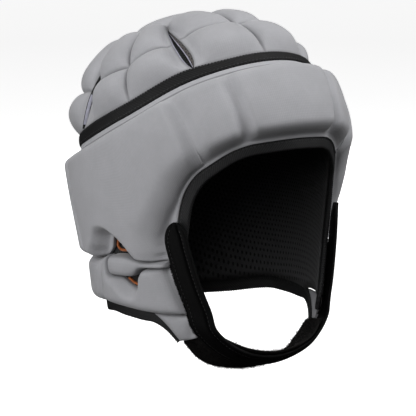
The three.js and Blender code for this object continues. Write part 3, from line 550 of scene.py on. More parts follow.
def crown_pad(first, last, splits, row, rise=RISE["crown"]):
    """A pad from slit to slit. For each of the two: the slit's rows, which lip, and what scales the lip."""
    starts, finishes = [(rows[0][0], rows[-1][0]) for rows, *_ in (first, last)]
    top = ring_seam(starts[0], finishes[0], CAP_EDGE)
    foot = ring_seam(starts[1], finishes[1], BAND_TOP, **CROWN_FOOT)
    return pad_shape(top, foot, slit_seam(*first), slit_seam(*last), rise, splits, [PILLOW_ROW[row]], QUILT)


def crown_cap():
    return pad_shape(*[ring_seam(*turns, CAP_EDGE) for turns in CAP_SIDES], RISE["cap"])


far_front, far_side = mirror_rows(FRONT_SLIT), mirror_rows(SIDE_SLIT, 360)
shapes = {
    "crown_front": crown_pad((far_front, 1), (FRONT_SLIT, -1), HALVES, "front", RISE["crown_front"]),
    "crown_side_right": crown_pad(
        (FRONT_SLIT, 1), (SIDE_SLIT, -1, SIDE_LIPS["side"]), [SIDE_SPLIT], "side"),
    "crown_back": crown_pad(
        (SIDE_SLIT, 1, SIDE_LIPS["back"]), (far_side, -1, SIDE_LIPS["back"]), THIRDS, "back"),
    "crown_cap": crown_cap(),
}
print({name: shape["outer"].shape[:2] for name, shape in shapes.items()})

# %% Pads below the band
LIP_BELOW_BAND, CREASE_BELOW_BAND = 5, 4.2
BELOW_BAND = {"lips": LIP_BELOW_BAND, "bevels": 7, "slope": True}
TEMPLE_GROOVE_RISE = 7  # height of the foam in the groove between forehead and temple
TEMPLE_BORDER = {"bevels": 9, "scoops": 1, "flush": True}
BACK_BORDER = {"bevels": 4, "floor": 0.8}
SOFT_GROOVE = {"bevels": 7, "floor": (0.66, 0.66, 0.6, 0.25), "scoops": 1}
BACK_GROOVE = {"bevels": 10, "floor": 0.45, "scoops": 1}
BACK_FOOT_BEVEL = 8
FACE_SCOOP = 0.25  # how hollow the temple's bevel is along the face


def falling_seam(top_turn, rows, side, **margins):
    """A seam from the band down the side of the head: side is 1 on the right, -1 on the left."""
    turns, heights = np.array(rows)[:, :2].T
    places = np.vstack([crown_points([top_turn], BAND_FOOT), wall_points(turns, heights)])
    return Seam(places * [side, 1, 1], **margins)


def temple_groove(side, pad):
    rows = [*TEMPLE_GROOVE, FACE_EDGE[TEMPLE_START][:2]]
    floor = TEMPLE_GROOVE_RISE / RISE[pad]
    return falling_seam(TEMPLE_GROOVE_TOP, rows, side, floor=floor, **TEMPLE_BORDER)


def back_crease(side):
    return falling_seam(BACK_CREASE_TOP, [*BACK_CREASE, BACK_FOOT[0]], side, **BACK_BORDER)


def forehead_pad():
    edge = whole_way(mirror_rows(FACE_EDGE[: TEMPLE_START + 1])[::-1], 0)
    foot = wall_seam(edge, slope=True, dip=ROLLED_EDGE)
    top = ring_seam(-TEMPLE_GROOVE_TOP, TEMPLE_GROOVE_TOP, BAND_FOOT, **BELOW_BAND)
    splits = [0.5 - FOREHEAD_SPLIT / 2, 0.5 + FOREHEAD_SPLIT / 2]
    sides = temple_groove(-1, "forehead"), temple_groove(1, "forehead")
    return pad_shape(top, foot, *sides, RISE["forehead"], splits, (), SOFT_GROOVE, CREASE_BELOW_BAND)


def temple_pad():
    front = [(*row, FACE_SCOOP) for row in FACE_EDGE[TEMPLE_START : TEMPLE_END + 1]]
    foot = wall_seam([*front, *TEMPLE_FOOT])
    top = ring_seam(TEMPLE_GROOVE_TOP, BACK_CREASE_TOP, BAND_FOOT, **BELOW_BAND)
    sides = temple_groove(1, "temple"), back_crease(1)
    return pad_shape(top, foot, *sides, RISE["temple"], crease=CREASE_BELOW_BAND)


def back_pad():
    """Its pressed line lies where the lip ends."""
    top = ring_seam(BACK_CREASE_TOP, 360 - BACK_CREASE_TOP, BAND_FOOT, **BELOW_BAND)
    foot = wall_seam(whole_way(BACK_FOOT, 360), bevels=BACK_FOOT_BEVEL)
    sides = back_crease(1), back_crease(-1)
    return pad_shape(top, foot, *sides, RISE["back"], THIRDS, (), BACK_GROOVE, LIP_BELOW_BAND)


below_band = {"forehead_pad": forehead_pad(), "temple_pad_right": temple_pad(), "back_pad": back_pad()}
shapes.update(below_band)
print({name: shape["outer"].shape[:2] for name, shape in below_band.items()})

# %% Nape, jaw and ear pads
NAPE_TOP_BEVEL, NAPE_FOOT_BEVEL = 8, 9
JAW_BORDER_RISE = 6.6  # height of the soft stitched border between the nape and the jaw pad
JAW_BORDER = {"bevels": 5, "scoops": 1, "flush": True}
TAB_BORDER, TAB_FRONT = {"lips": 1, "bevels": 6}, {"lips": 5, "bevels": 11}
BAR_FRONT, BAR_REAR = {"lips": 2, "bevels": 6}, {"bevels": 3}


def jaw_border(rows, pad):
    return wall_seam(rows, floor=JAW_BORDER_RISE / RISE[pad], **JAW_BORDER)


def nape_pad():
    top = wall_seam(whole_way(NAPE_TOP, 360), bevels=NAPE_TOP_BEVEL)
    foot = wall_seam(whole_way(NAPE_FOOT, 360), bevels=NAPE_FOOT_BEVEL)
    sides = [jaw_border(rows, "nape") for rows in (NAPE_FRONT, mirror_rows(NAPE_FRONT, 360))]
    return pad_shape(top, foot, *sides, RISE["nape"], THIRDS, (), BACK_GROOVE)


def jaw_pad():
    front = wall_seam(FACE_EDGE[JAW_START : JAW_END + 1])
    rear = jaw_border([JAW_TOP[-1][:2], JAW_FOOT[-1][:2]], "jaw")
    return pad_shape(wall_seam(JAW_TOP), wall_seam(JAW_FOOT), front, rear, RISE["jaw"])


def jaw_tab():
    lowered = [(turn, height - TAB_GAP) for turn, height, *_ in FACE_EDGE[JAW_END:]]
    front, top, rear = [wall_points(*np.array(rows).T) for rows in (lowered, TAB_TOP, TAB_REAR)]
    ends = Seam(np.vstack([front[:1], top]), **TAB_BORDER), Seam([front[-1], rear[-1]], **TAB_BORDER)
    return pad_shape(*ends, Seam(front, **TAB_FRONT), Seam(rear, **TAB_BORDER), RISE["tab"])


def ear_bar():
    front, rear = [[BAR_TOP[i][:2], BAR_FOOT[i][:2]] for i in (0, -1)]
    sides = wall_seam(front, **BAR_FRONT), wall_seam(rear, **BAR_REAR)
    return pad_shape(wall_seam(BAR_TOP), wall_seam(BAR_FOOT), *sides, RISE["bar"])


low_pads = {
    "nape_pad": nape_pad(), "jaw_pad_right": jaw_pad(), "jaw_tab_right": jaw_tab(),
    "ear_bar_right": ear_bar(),
}
shapes.update(low_pads)
print({name: shape["outer"].shape[:2] for name, shape in low_pads.items()})

# %% [markdown]
# ## Turning a shape into a piece
# A bmesh grid is extruded once, which gives a closed slab with a top, a bottom and side walls. Its
# corners are then moved to the shape's outer and inner layers. Faces have to point outwards, and the
# signed volume of a closed piece tells: below 0, all its faces are turned round. The weave is laid out in
# a UV map in metres, and the distance to the nearest seam is kept as an attribute, from which the finish
# paints shade beside seams and along the pressed line.

# %% Slab maker
pieces = {}


def new_piece(name, bm):
    mesh = bpy.data.meshes.new(name)
    if bm.calc_volume(signed=True) < 0:
        bmesh.ops.reverse_faces(bm, faces=bm.faces[:])
    for face in bm.faces:
        face.smooth = True
    bm.to_mesh(mesh)
    bm.free()
    piece = bpy.data.objects.new(name, mesh)
    bpy.context.scene.collection.objects.link(piece)
    pieces[name] = piece
    return piece


def grid_mesh(columns, rows):
    """A flat grid with a corner on each whole number, and layers for the weave and the seams."""
    bm = bmesh.new()
    bm.edges.layers.float.new("crease_edge")
    gap_layer = bm.verts.layers.float.new("seam_gap")
    uv_layer = bm.loops.layers.uv.new("UVMap")
    bmesh.ops.create_grid(bm, x_segments=columns - 1, y_segments=rows - 1, size=0.5)
    to_corner = Matrix.Translation((0.5, 0.5, 0))
    to_whole = Matrix.Diagonal((columns - 1, rows - 1, 1, 1))
    bmesh.ops.transform(bm, matrix=to_whole @ to_corner, verts=bm.verts[:])
    return bm, gap_layer, uv_layer


def spot(vert):
    return round(vert.co.x), round(vert.co.y)


def slab(name, outer, inner, uv, seam_gap, sharp):
    bm, gap_layer, uv_layer = grid_mesh(*outer.shape[:2])
    crease_layer = bm.edges.layers.float["crease_edge"]
    fresh = bmesh.ops.extrude_face_region(bm, geom=bm.faces[:])["geom"]
    lifted = [part for part in fresh if isinstance(part, bmesh.types.BMVert)]
    bmesh.ops.translate(bm, vec=(0, 0, 1), verts=lifted)
    for face in bm.faces:
        for loop in face.loops:
            loop[uv_layer].uv = uv[spot(loop.vert)] * MM
    for edge in bm.edges:
        if all(sharp[spot(vert)] and vert.co.z > 0.5 for vert in edge.verts):
            edge.smooth, edge[crease_layer] = False, 1
    for vert in bm.verts:
        place = spot(vert)
        layer = outer if vert.co.z > 0.5 else inner
        vert[gap_layer] = seam_gap[place] * MM
        vert.co = Vector((layer[place] + TO_FRAME) * MM)
    return new_piece(name, bm)


def mirrored(shape):
    """The shape on the wearer's left, with its columns turned round so that faces still point out."""
    flip = np.array([-1, 1, 1])
    layers = {key: shape[key][::-1] * flip for key in ("outer", "inner", "normal")}
    return {**shape, **{key: shape[key][::-1] for key in ("held", "seam_gap", "sharp", "uv")}, **layers}


print("corners of the slabs so far", 2 * sum(shape["held"].size for shape in shapes.values()))

# %% [markdown]
# ## Swelling the pads
# Foam under a knitted cover pushes evenly outwards, and the seams hold it back. Blender's Cloth does
# that: the seam points are pinned, a small pressure acts for a few frames, and the move of each point
# is capped so that neighbours stay clear.

# %% Cloth pressure
SWELL_FRAMES, SWELL_CAP = 12, 1.6
CLOTH = {
    "quality": 5, "mass": 0.3, "tension_stiffness": 12, "compression_stiffness": 12,
    "shear_stiffness": 6, "bending_stiffness": 0.4, "use_pressure": True, "uniform_pressure_force": 3.0,
    "vertex_group_mass": "seams",
}


def cloth_sheet(name, shape):
    bm = grid_mesh(*shape["outer"].shape[:2])[0]
    bm.verts.index_update()
    order = [spot(vert) for vert in bm.verts]
    held = [index for index, place in enumerate(order) if shape["held"][place]]
    for vert, place in zip(bm.verts, order):
        vert.co = Vector((shape["outer"][place] + TO_FRAME) * MM)
    bm.normal_update()
    ways = [Vector(shape["normal"][order[face.verts[0].index]]) for face in bm.faces]
    if sum(face.normal.dot(way) for face, way in zip(bm.faces, ways)) < 0:
        bmesh.ops.reverse_faces(bm, faces=bm.faces[:])
    mesh = bpy.data.meshes.new(name + "_cloth")
    bm.to_mesh(mesh)
    bm.free()
    sheet = bpy.data.objects.new(name + "_cloth", mesh)
    bpy.context.scene.collection.objects.link(sheet)
    sheet.vertex_groups.new(name=CLOTH["vertex_group_mass"]).add(held, 1.0, "REPLACE")
    modifier = sheet.modifiers.new("swell", "CLOTH")
    for label, value in CLOTH.items():
        setattr(modifier.settings, label, value)
    modifier.settings.effector_weights.gravity = 0
    modifier.point_cache.frame_end = SWELL_FRAMES
    return sheet, order


def swell_pads():
    scene = bpy.context.scene
    sheets = {name: cloth_sheet(name, shape) for name, shape in shapes.items()}
    for number in range(1, SWELL_FRAMES + 1):
        scene.frame_set(number)
    graph = bpy.context.evaluated_depsgraph_get()
    for name, (sheet, order) in sheets.items():
        shape = shapes[name]
        mesh = sheet.evaluated_get(graph).to_mesh()
        moved = np.zeros(shape["outer"].shape)
        for vert in mesh.vertices:
            moved[order[vert.index]] = np.array(vert.co) / MM - TO_FRAME - shape["outer"][order[vert.index]]
        length = np.linalg.norm(moved, axis=-1, keepdims=True)
        print(name, "swells by up to", round(float(length.max()), 2), "mm")
        shape["outer"] += moved * np.minimum(1, SWELL_CAP / np.maximum(length, 1e-9))
        bpy.data.objects.remove(sheet)
    scene.frame_set(1)


swell_pads()

# %% Pad pieces
SIDES = ("right", "left")
for name in [n for n in shapes if n.endswith("_right")]:
    shapes[name.replace("_right", "_left")] = mirrored(shapes[name])
for name, shape in shapes.items():
    piece = slab(name + "_cover", *[shape[key] for key in ("outer", "inner", "uv", "seam_gap", "sharp")])
    smooth = piece.modifiers.new("smooth", "SUBSURF")
    smooth.levels = smooth.render_levels = 1
    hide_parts(name)
print("pads", len(shapes))

# %% [markdown]
# ## The lining
# A thin mesh cloth covers the head behind all the pads. It shows through the face opening, the ear
# windows and the vents. A dome could be cut from a sphere, but the rim is not a circle. Here the rows of
# a grid become rings from the pole to the bound edge, the doubled corners at the pole and the back are
# merged, and solidify gives the cloth its thickness. One ring lies on the band's seam, where the cloth
# of the crown meets that of the walls, so the mesh pattern may change direction there. An attribute
# marks the inner side, whose cloth is paler.

# %% Lining
LINING_OUTER = 1.2
LINING_INSET = 0.1  # degrees back from the bound edge
BAND_MIDDLE = (BAND_TOP + BAND_FOOT) / 2
LINING_CROWN_RINGS, LINING_WALL_RINGS, LINING_MERIDIANS = 26, 32, 240
MERGE = 1e-6


def crown_angles(p):
    """Turn and fall of points, the inverse of crown_points."""
    x, y, z = np.moveaxis(unit(p), -1, 0)
    c, s = math.cos(CROWN_TILT), math.sin(CROWN_TILT)
    turn = np.unwrap(np.arctan2(-x, s * z - c * y))
    return np.degrees(np.stack([turn, np.arccos(np.clip(s * y + c * z, -1, 1))], -1))


def lining_rim():
    edges = [wall_seam(FACE_EDGE[: JAW_END + 1]), wall_seam(NECK_EDGE[NECK_START:])]
    right = crown_angles(np.vstack([edge.points for edge in edges]))
    left = np.c_[360 - right[::-1, 0], right[::-1, 1]]
    rim = np.vstack([right, left[1:]])
    return sample(rim, np.linspace(0, 1, LINING_MERIDIANS + 1)) - [0, LINING_INSET]


def lining():
    rim = lining_rim()
    share = np.r_[np.linspace(-1, 0, LINING_CROWN_RINGS), np.linspace(0, 1, LINING_WALL_RINGS)[1:]]
    fall = np.where(share < 0, BAND_MIDDLE * (1 + share), BAND_MIDDLE + share * (rim[:, 1:] - BAND_MIDDLE))
    turn = np.broadcast_to(rim[:, :1], fall.shape)
    cloth = raised(crown_points(turn, fall), LINING_OUTER)
    around, down = np.radians(turn) * HALF_BREADTH, np.radians(fall) * HALF_BREADTH
    disc = np.stack([down * np.cos(np.radians(turn)), down * np.sin(np.radians(turn))], -1)
    wall = np.stack([around, down], -1)
    bm, _, uv_layer = grid_mesh(*fall.shape)
    for face in bm.faces:
        above = min(vert.co.y for vert in face.verts) < LINING_CROWN_RINGS - 1.5
        for loop in face.loops:
            loop[uv_layer].uv = (disc if above else wall)[spot(loop.vert)] * MM
    for vert in bm.verts:
        vert.co = Vector((cloth[spot(vert)] + TO_FRAME) * MM)
    bmesh.ops.remove_doubles(bm, verts=bm.verts[:], dist=MERGE)
    bmesh.ops.dissolve_degenerate(bm, edges=bm.edges[:], dist=MERGE)
    bmesh.ops.recalc_face_normals(bm, faces=bm.faces[:])
    bmesh.ops.solidify(bm, geom=bm.faces[:], thickness=LINING_OUTER * MM)
    bm.normal_update()
    inner_layer = bm.verts.layers.float.new("inner_side")
    for vert in bm.verts:
        vert[inner_layer] = float(vert.normal.dot(vert.co - Vector(TO_FRAME * MM)) < 0)
    piece = new_piece("head_lining_mesh", bm)
    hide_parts("head_lining")
    return piece


print("lining corners", len(lining().data.vertices))

# %% [markdown]
# ## Woven tapes
# The band and the edge bindings are one kind of narrow webbing with slanted ribs, and the ribs give its
# edges their small teeth. A bump alone would leave the edges straight, so the ribs are real: a closed
# section is carried along the seam in steps much shorter than a rib, and each corner is moved in and out.

# %% Carrying a section along a line
RIB_STEPS = 6  # steps along the tape for each rib


def even(line, step):
    """Places about step apart along a line, the direction there, and the run up to each."""
    total = step_lengths(line).sum()
    shares = np.linspace(0, 1, max(2, round(total / step)) + 1)
    places = sample(line, shares)
    return places, unit(np.gradient(places, axis=0)), shares * total


def ribbon(name, sections, uv, ring=False):
    """A closed band through its sections, whose corners run once round each of them."""
    stations, corners = sections.shape[:2]
    bm, _, uv_layer = grid_mesh(stations + ring, corners + 1)
    for face in bm.faces:
        for loop in face.loops:
            loop[uv_layer].uv = uv[spot(loop.vert)] * MM
    for vert in bm.verts:
        i, j = spot(vert)
        vert.co = Vector((sections[i % stations, j % corners] + TO_FRAME) * MM)
    bmesh.ops.remove_doubles(bm, verts=bm.verts[:], dist=MERGE)
    if not ring:
        bmesh.ops.holes_fill(bm, edges=[edge for edge in bm.edges if edge.is_boundary], sides=0)
    return new_piece(name, bm)


def round_section(section):
    """How far round a closed section each corner lies, with the first corner again at the end."""
    return np.r_[0, np.cumsum(step_lengths(np.vstack([section, section[:1]])))]


def weave(run, across, pitch, lean):
    """Slanted ribs: 1 on a rib, -1 between two."""
    return np.cos(2 * np.pi * (run + lean * across) / pitch)


print("a tape has", RIB_STEPS, "steps to a rib")

# %% Crown band
BAND_PITCH, BAND_LEAN, BAND_RIB, BAND_TEETH = 2.2, 0.8, 0.26, 0.4
BAND_INNER, BAND_OUTER, BAND_CROWN = 2, 4.6, 0.7
BAND_ROWS = 13
RING_TURNS = np.linspace(0, 360, 721)


def crown_band():
    ring = crown_points(RING_TURNS, BAND_MIDDLE)
    total = step_lengths(ring).sum()
    ribs = round(total / BAND_PITCH)
    shares = np.linspace(0, 1, ribs * RIB_STEPS, endpoint=False)
    turn = np.interp(shares, shares_of(ring), RING_TURNS)[:, None]
    run = shares[:, None] * ribs * BAND_PITCH
    across = np.linspace(-1, 1, BAND_ROWS)
    half = FRONT * math.radians(BAND_FOOT - BAND_TOP) / 2 - SEAM_GAP
    across_mm = np.r_[across * half, half, -half]
    height = np.r_[BAND_OUTER + BAND_CROWN * (1 - across**4), BAND_INNER, BAND_INNER]
    ribbed = np.r_[np.ones(BAND_ROWS), 0, 0]
    teeth = np.r_[np.sign(across) * np.abs(across) ** 6, 1, -1]
    rib = weave(run, across_mm, BAND_PITCH, BAND_LEAN) * ribbed
    spread = across_mm + BAND_TEETH * teeth * weave(run, 0, BAND_PITCH, 0)
    sections = raised(crown_points(turn, BAND_MIDDLE + np.degrees(spread / FRONT)), height + BAND_RIB * rib)
    u = np.r_[run[:, 0], ribs * BAND_PITCH]
    v = round_section(np.c_[across_mm, height])
    piece = ribbon("crown_band_webbing", sections, weave_map(u, v), ring=True)
    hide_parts("crown_band")
    return total


print("band", round(crown_band()), "mm round")

# %% [markdown]
# ## Bindings
# The face edge and the neck edge are bound with a narrower tape that is folded over the edge, so its
# section is a flat top that rolls over into an underside. At the jaw the neck binding narrows to the tip.

# %% Edge bindings
FACE_WIDTH, NECK_WIDTH, NECK_TIP_WIDTH, NECK_TAPER = 7.5, 8.5, 3.5, 0.12
TAPE_THICK = 3.5
TAPE_TUCK = 0.6  # how far the tape reaches back under the pad's edge
TAPE_PITCH, TAPE_LEAN, TAPE_RIB, TAPE_TEETH, TOOTH_DEPTH = 1.9, 1.0, 0.22, 0.35, 1.5
TAPE_TOP_ROWS, TAPE_ROLL_ROWS = 12, 6
TAPE_FLAT, TAPE_ROLL = 0.86, 0.16  # shares of the width: the flat top, and the rolled edge


def tape_profile():
    """Across as a share of the width, up as a share of the thickness, and how strongly it is ribbed."""
    flat = np.linspace(0, TAPE_FLAT, TAPE_TOP_ROWS)
    top = np.c_[flat, 0.93 + 0.07 * np.sin(np.pi * flat / 0.9)]
    angle = np.linspace(np.pi / 2, -np.pi / 2, TAPE_ROLL_ROWS + 2)[1:-1]
    roll = np.c_[0.88 + 0.15 * np.cos(angle), 0.5 + 0.45 * np.sin(angle)]
    under = [(TAPE_FLAT, 0.05), (TAPE_FLAT / 2, 0.04), (0, 0.05)]
    strength = np.r_[np.ones(len(top) + len(roll)), np.zeros(len(under))]
    return np.vstack([top, roll, under]), strength


def binding(name, node, rows, outwards, width_at):
    places, way, run = even(wall_seam(rows).points, TAPE_PITCH / RIB_STEPS)
    normal = head_normal(places)
    beyond = np.cross(way, normal) * outwards
    profile, strength = tape_profile()
    width = width_at(run / run[-1])[:, None]
    across, up = profile[:, 0] * width, profile[:, 1] * TAPE_THICK
    teeth = TAPE_TEETH * np.clip(1 - across / TOOTH_DEPTH, 0, 1) * weave(run[:, None], 0, TAPE_PITCH, 0)
    rib = TAPE_RIB * strength * weave(run[:, None], across, TAPE_PITCH, TAPE_LEAN)
    rolled = np.clip((profile[:, 0] - TAPE_FLAT) / TAPE_ROLL, 0, 1)
    sideways = across * (1 + TAPE_TUCK / width) - TAPE_TUCK - teeth + rib * rolled
    upwards = up + rib * (1 - rolled)
    sections = places[:, None] + beyond[:, None] * sideways[..., None] + normal[:, None] * upwards[..., None]
    v = round_section(profile * [FACE_WIDTH, TAPE_THICK])
    piece = ribbon(name, sections, weave_map(run, v))
    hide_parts(node)
    print(name, round(run[-1]), "mm")


def face_width(share):
    return np.full(len(share), FACE_WIDTH)


def neck_width(share):
    return NECK_TIP_WIDTH + (NECK_WIDTH - NECK_TIP_WIDTH) * ease(np.minimum(share, 1 - share) / NECK_TAPER)


face_rows, neck_rows = whole_way(FACE_EDGE[-2::-1], 0), whole_way(NECK_EDGE, 360)
binding("face_binding_tape", "face_binding", face_rows, 1, face_width)
binding("neck_binding_tape", "neck_binding", neck_rows, -1, neck_width)

# %% [markdown]
# ## The chin strap
# The strap is soft smooth cloth over foam: a raised middle between two flat side bands, with a rounded
# tip at each end that grips the pad below the temple. It hangs in one curve under the chin. The section
# is carried along that curve, and the width shrinks to the tip as an ellipse does.

# %% Strap
STRAP_WIDTH, STRAP_THICK, STRAP_REST, STRAP_TIP = 19, 3.4, 6.4, 16
STRAP_HUB = np.array([0, -21, -40])  # the strap faces away from this point
SIDE_BAND, SIDE_BAND_SHARE = 4.6, 0.7  # width of a side band, and the most of half the strap that it takes
SIDE_BAND_UP, SIDE_BAND_SINK = 0.62, 0.18  # its height as a share of the strap's, and its fall inwards
STRAP_STEP = 1.0
STRAP_MIDDLE_ROWS, STRAP_BAND_ROWS, STRAP_UNDER_ROWS = 13, 6, 5
STRAP_UNDER_INSET = 0.6
TIP_LEAST = 0.01  # share of the tip's length at which the strap starts


def strap_line():
    turn, height = np.array(STRAP_WALL).T
    right = np.vstack([raised(wall_points(turn, height), STRAP_REST), STRAP_CHIN])
    return spline(np.vstack([right, right[-2::-1] * [-1, 1, 1]]), 40)


def strap_frame(line, step):
    """Even places along the strap with the directions out of it and back across it."""
    places, way, run = even(line, step)
    out = places - STRAP_HUB
    out = unit(out - way * np.sum(out * way, axis=1, keepdims=True))
    return places, out, np.cross(way, out), run


def strap_widths(run):
    """Half the strap's width and the width of its side bands, at each place."""
    inside = np.clip(np.minimum(run, run[-1] - run) / STRAP_TIP, TIP_LEAST, 1)
    half = STRAP_WIDTH / 2 * np.sqrt(1 - (1 - inside) ** 2)[:, None]
    return half, np.minimum(SIDE_BAND, SIDE_BAND_SHARE * half)


def strap():
    places, out, back, run = strap_frame(strap_line(), STRAP_STEP)
    half, band = strap_widths(run)
    t = np.linspace(0, 1, STRAP_BAND_ROWS)
    front_band = -half + band * t
    band_up = SIDE_BAND_UP * np.sqrt(1 - (1 - np.clip(t * 3, 0, 1)) ** 2) * (1 - SIDE_BAND_SINK * t**3)
    middle = np.linspace(-1, 1, STRAP_MIDDLE_ROWS)
    middle_up = SIDE_BAND_UP + (1 - SIDE_BAND_UP) * (1 - middle**8) ** 0.5 - 0.05 * middle**2
    under = np.linspace(1, -1, STRAP_UNDER_ROWS) * (half - STRAP_UNDER_INSET)
    across = np.hstack([front_band, middle * (half - band), -front_band[:, ::-1], under])
    up = np.r_[band_up, middle_up, band_up[::-1], np.zeros(STRAP_UNDER_ROWS)] * STRAP_THICK
    sections = places[:, None] + back[:, None] * across[..., None] + out[:, None] * up[:, None]
    v = round_section(np.c_[across[len(run) // 2], up])
    piece = ribbon("chin_strap_cloth", sections, weave_map(run, v))
    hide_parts("chin_strap")
    return run[-1]


print("strap", round(strap()), "mm from tip to tip")

# %% [markdown]
# ## The chin cup and its loop pile
# Under the chin the strap carries a wider piece of loop cloth, the soft half of a hook-and-loop pair,
# and a strip of it shows along the strap's rear edge. Loop cloth is a mat of tiny hoops. Blender's hair
# could grow it, but hair is lost in an export, so one hoop is modelled and set down thousands of times.

# %% Chin cup
CUP_THICK, CUP_GAP = 3, 0.3
CUP_EDGES = [  # share of the strap, front edge, rear edge
    (14 / 48, 15, 26), (15 / 48, -5, 29), (0.34, -8, 32), (0.37, -10.5, 32), (0.43, -12.5, 28.5),
    (0.5, -12.5, 27),
]
CUP_START = CUP_EDGES[0][0]
CUP_ROWS = 36
LOOP_STRIP_START, LOOP_STRIP_IN, LOOP_STRIP_OUT, LOOP_STRIP_THICK = 0.1, 4, 1.3, 1.1
LOOP_STRIP_END = CUP_START - 0.005
THINNEST = 0.02  # share of the thickness that is left at the edges of loop cloth


def blunt(t):
    """A flat strip's half thickness, round at both edges."""
    return (1 - np.abs(2 * t - 1) ** 6) ** 0.5


def cup_limits(share):
    stops, front, rear = np.array(CUP_EDGES).T
    return [np.interp(np.minimum(share, 1 - share), stops, edge) for edge in (front, rear)]


def strip_limits(share):
    half = np.full(len(share), STRAP_WIDTH / 2)
    return half - LOOP_STRIP_IN, half + LOOP_STRIP_OUT


def loop_cloth(name, start, end, limits, thickness):
    """A flat piece under the strap: the piece itself, its upper and lower sides and the way out of it."""
    places, out, back, run = strap_frame(strap_line(), STRAP_STEP)
    share = run / run[-1]
    kept = (share >= start) & (share <= end)
    places, out, back, run, share = (values[kept] for values in (places, out, back, run, share))
    front, rear = limits(share)
    t = np.linspace(0, 1, CUP_ROWS)
    low, high = -CUP_GAP - thickness, -CUP_GAP
    across = front[:, None] + (rear - front)[:, None] * t
    middle = places[:, None] + back[:, None] * across[..., None] + out[:, None] * (low + high) / 2
    thick = (high - low) / 2 * np.maximum(blunt(t), THINNEST)[None, :, None]
    upper, lower = middle + out[:, None] * thick, middle - out[:, None] * thick
    sections = np.concatenate([upper, lower[:, ::-1]], axis=1)
    v = across[len(run) // 2]
    piece = ribbon(name, sections, weave_map(run, np.r_[v, 2 * rear.max() + v, v[0]]))
    return piece, upper, lower, out


cup, cup_upper, cup_lower, cup_out = loop_cloth(
    "chin_cup_pad", CUP_START, 1 - CUP_START, cup_limits, CUP_THICK)
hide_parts("chin_cup")
strips = [
    loop_cloth("strap_loop_" + side, start, end, strip_limits, LOOP_STRIP_THICK)
    for side, start, end in (
        ("right", LOOP_STRIP_START, LOOP_STRIP_END), ("left", 1 - LOOP_STRIP_END, 1 - LOOP_STRIP_START))
]
print("cup corners", len(cup.data.vertices), "strips", len(strips))

# %% Hoops of the loop pile
HOOP_SIDES, HOOP_CUTS = 3, 5
HOOP_HEIGHT, HOOP_THICK = 1.3, 0.07
HOOP_TALL = 0.5, 1.15  # shortest and tallest hoop, as shares of the height
HOOP_HALF_SPAN, HOOP_LEAN = 0.35, 0.45
CUP_HOOPS, STRIP_HOOPS, STRIP_HOOP_HEIGHT = 3600, 1100, 0.8 * HOOP_HEIGHT
CUP_REAR, STRIP_REAR = 0.5, 0.72  # share of the width from which hoops stand on the upper side
rng = np.random.default_rng(7)


def small_shape(bm):
    """The corners and triangles of a shape that is set down many times."""
    bmesh.ops.triangulate(bm, faces=bm.faces[:])
    bm.verts.index_update()
    corners = np.array([vert.co for vert in bm.verts])
    faces = np.array([[vert.index for vert in face.verts] for face in bm.faces])
    bm.free()
    return corners, faces


def hoop_rod():
    """A thin rod of length 1, cut across so that it can be bent into an arch."""
    bm = bmesh.new()
    bmesh.ops.create_cone(bm, segments=HOOP_SIDES, radius1=1, radius2=1, depth=1, cap_ends=True)
    upright = [edge for edge in bm.edges if abs(edge.verts[0].co.z - edge.verts[1].co.z) > 0.5]
    bmesh.ops.subdivide_edges(bm, edges=upright, cuts=HOOP_CUTS)
    return small_shape(bm)


def scatter(name, corners, faces):
    """Joins many placed copies of one small shape: corners holds all the copies' corners."""
    copies, each = corners.shape[:2]
    joined = faces[None] + each * np.arange(copies)[:, None, None]
    places = ((corners + TO_FRAME) * MM).reshape(-1, 3)
    mesh = bpy.data.meshes.new(name)
    mesh.from_pydata(places, [], joined.reshape(-1, faces.shape[1]).tolist())
    bm = bmesh.new()
    bm.from_mesh(mesh)
    bpy.data.meshes.remove(mesh)
    piece = new_piece(name, bm)
    return piece


def hoops(name, roots, out, height):
    rod, faces = hoop_rod()
    count = len(roots)
    angle = np.pi * (rod[:, 2:] + 0.5)
    aside = unit(np.cross(out, rng.normal(size=(count, 3))))
    lean = out + HOOP_LEAN * np.clip(rng.normal(size=(count, 3)), -1, 1)
    third = np.cross(aside, out)
    tall = height * rng.uniform(*HOOP_TALL, count)[:, None, None]
    across, along = np.cos(angle), np.sin(angle)
    arch = HOOP_HALF_SPAN * across * aside[:, None] + along * lean[:, None]
    bent = across * aside[:, None] + along * out[:, None]
    thick = rod[:, :1] * third[:, None] + rod[:, 1:2] * bent
    return scatter(name, roots[:, None] + arch * tall + thick * HOOP_THICK, faces)


def scatter_on(surface, out, count, first=0.0, last=1.0):
    """Random places on a grid of points, and the outward direction at each."""
    i = rng.uniform(0, surface.shape[0] - 1.001, count)
    j = rng.uniform(first, last, count) * (surface.shape[1] - 1.001)
    low_i, low_j = i.astype(int), j.astype(int)
    s, t = (i - low_i)[:, None], (j - low_j)[:, None]
    near = surface[low_i, low_j] * (1 - t) + surface[low_i, low_j + 1] * t
    far = surface[low_i + 1, low_j] * (1 - t) + surface[low_i + 1, low_j + 1] * t
    return near * (1 - s) + far * s, out[low_i]


rear_roots, rear_out = scatter_on(cup_upper, cup_out, CUP_HOOPS // 2, CUP_REAR)
under_roots, under_out = scatter_on(cup_lower, -cup_out, CUP_HOOPS // 2)
hoops("chin_cup_pile", np.vstack([rear_roots, under_roots]), np.vstack([rear_out, under_out]), HOOP_HEIGHT)
for side, (_, upper, _, out) in zip(SIDES, strips):
    hoops("strap_pile_" + side, *scatter_on(upper, out, STRIP_HOOPS, STRIP_REAR), STRIP_HOOP_HEIGHT)
print("hoops", CUP_HOOPS + len(strips) * STRIP_HOOPS)

# %% [markdown]
# ## Piping in the ear windows
# A thin orange piping edges the mesh inside each ear window. It is a round cord in a cloth cover. A
# bevelled curve would do, but a ring of corners that is carried along the line also gives it the weave
# map that the other trims have.

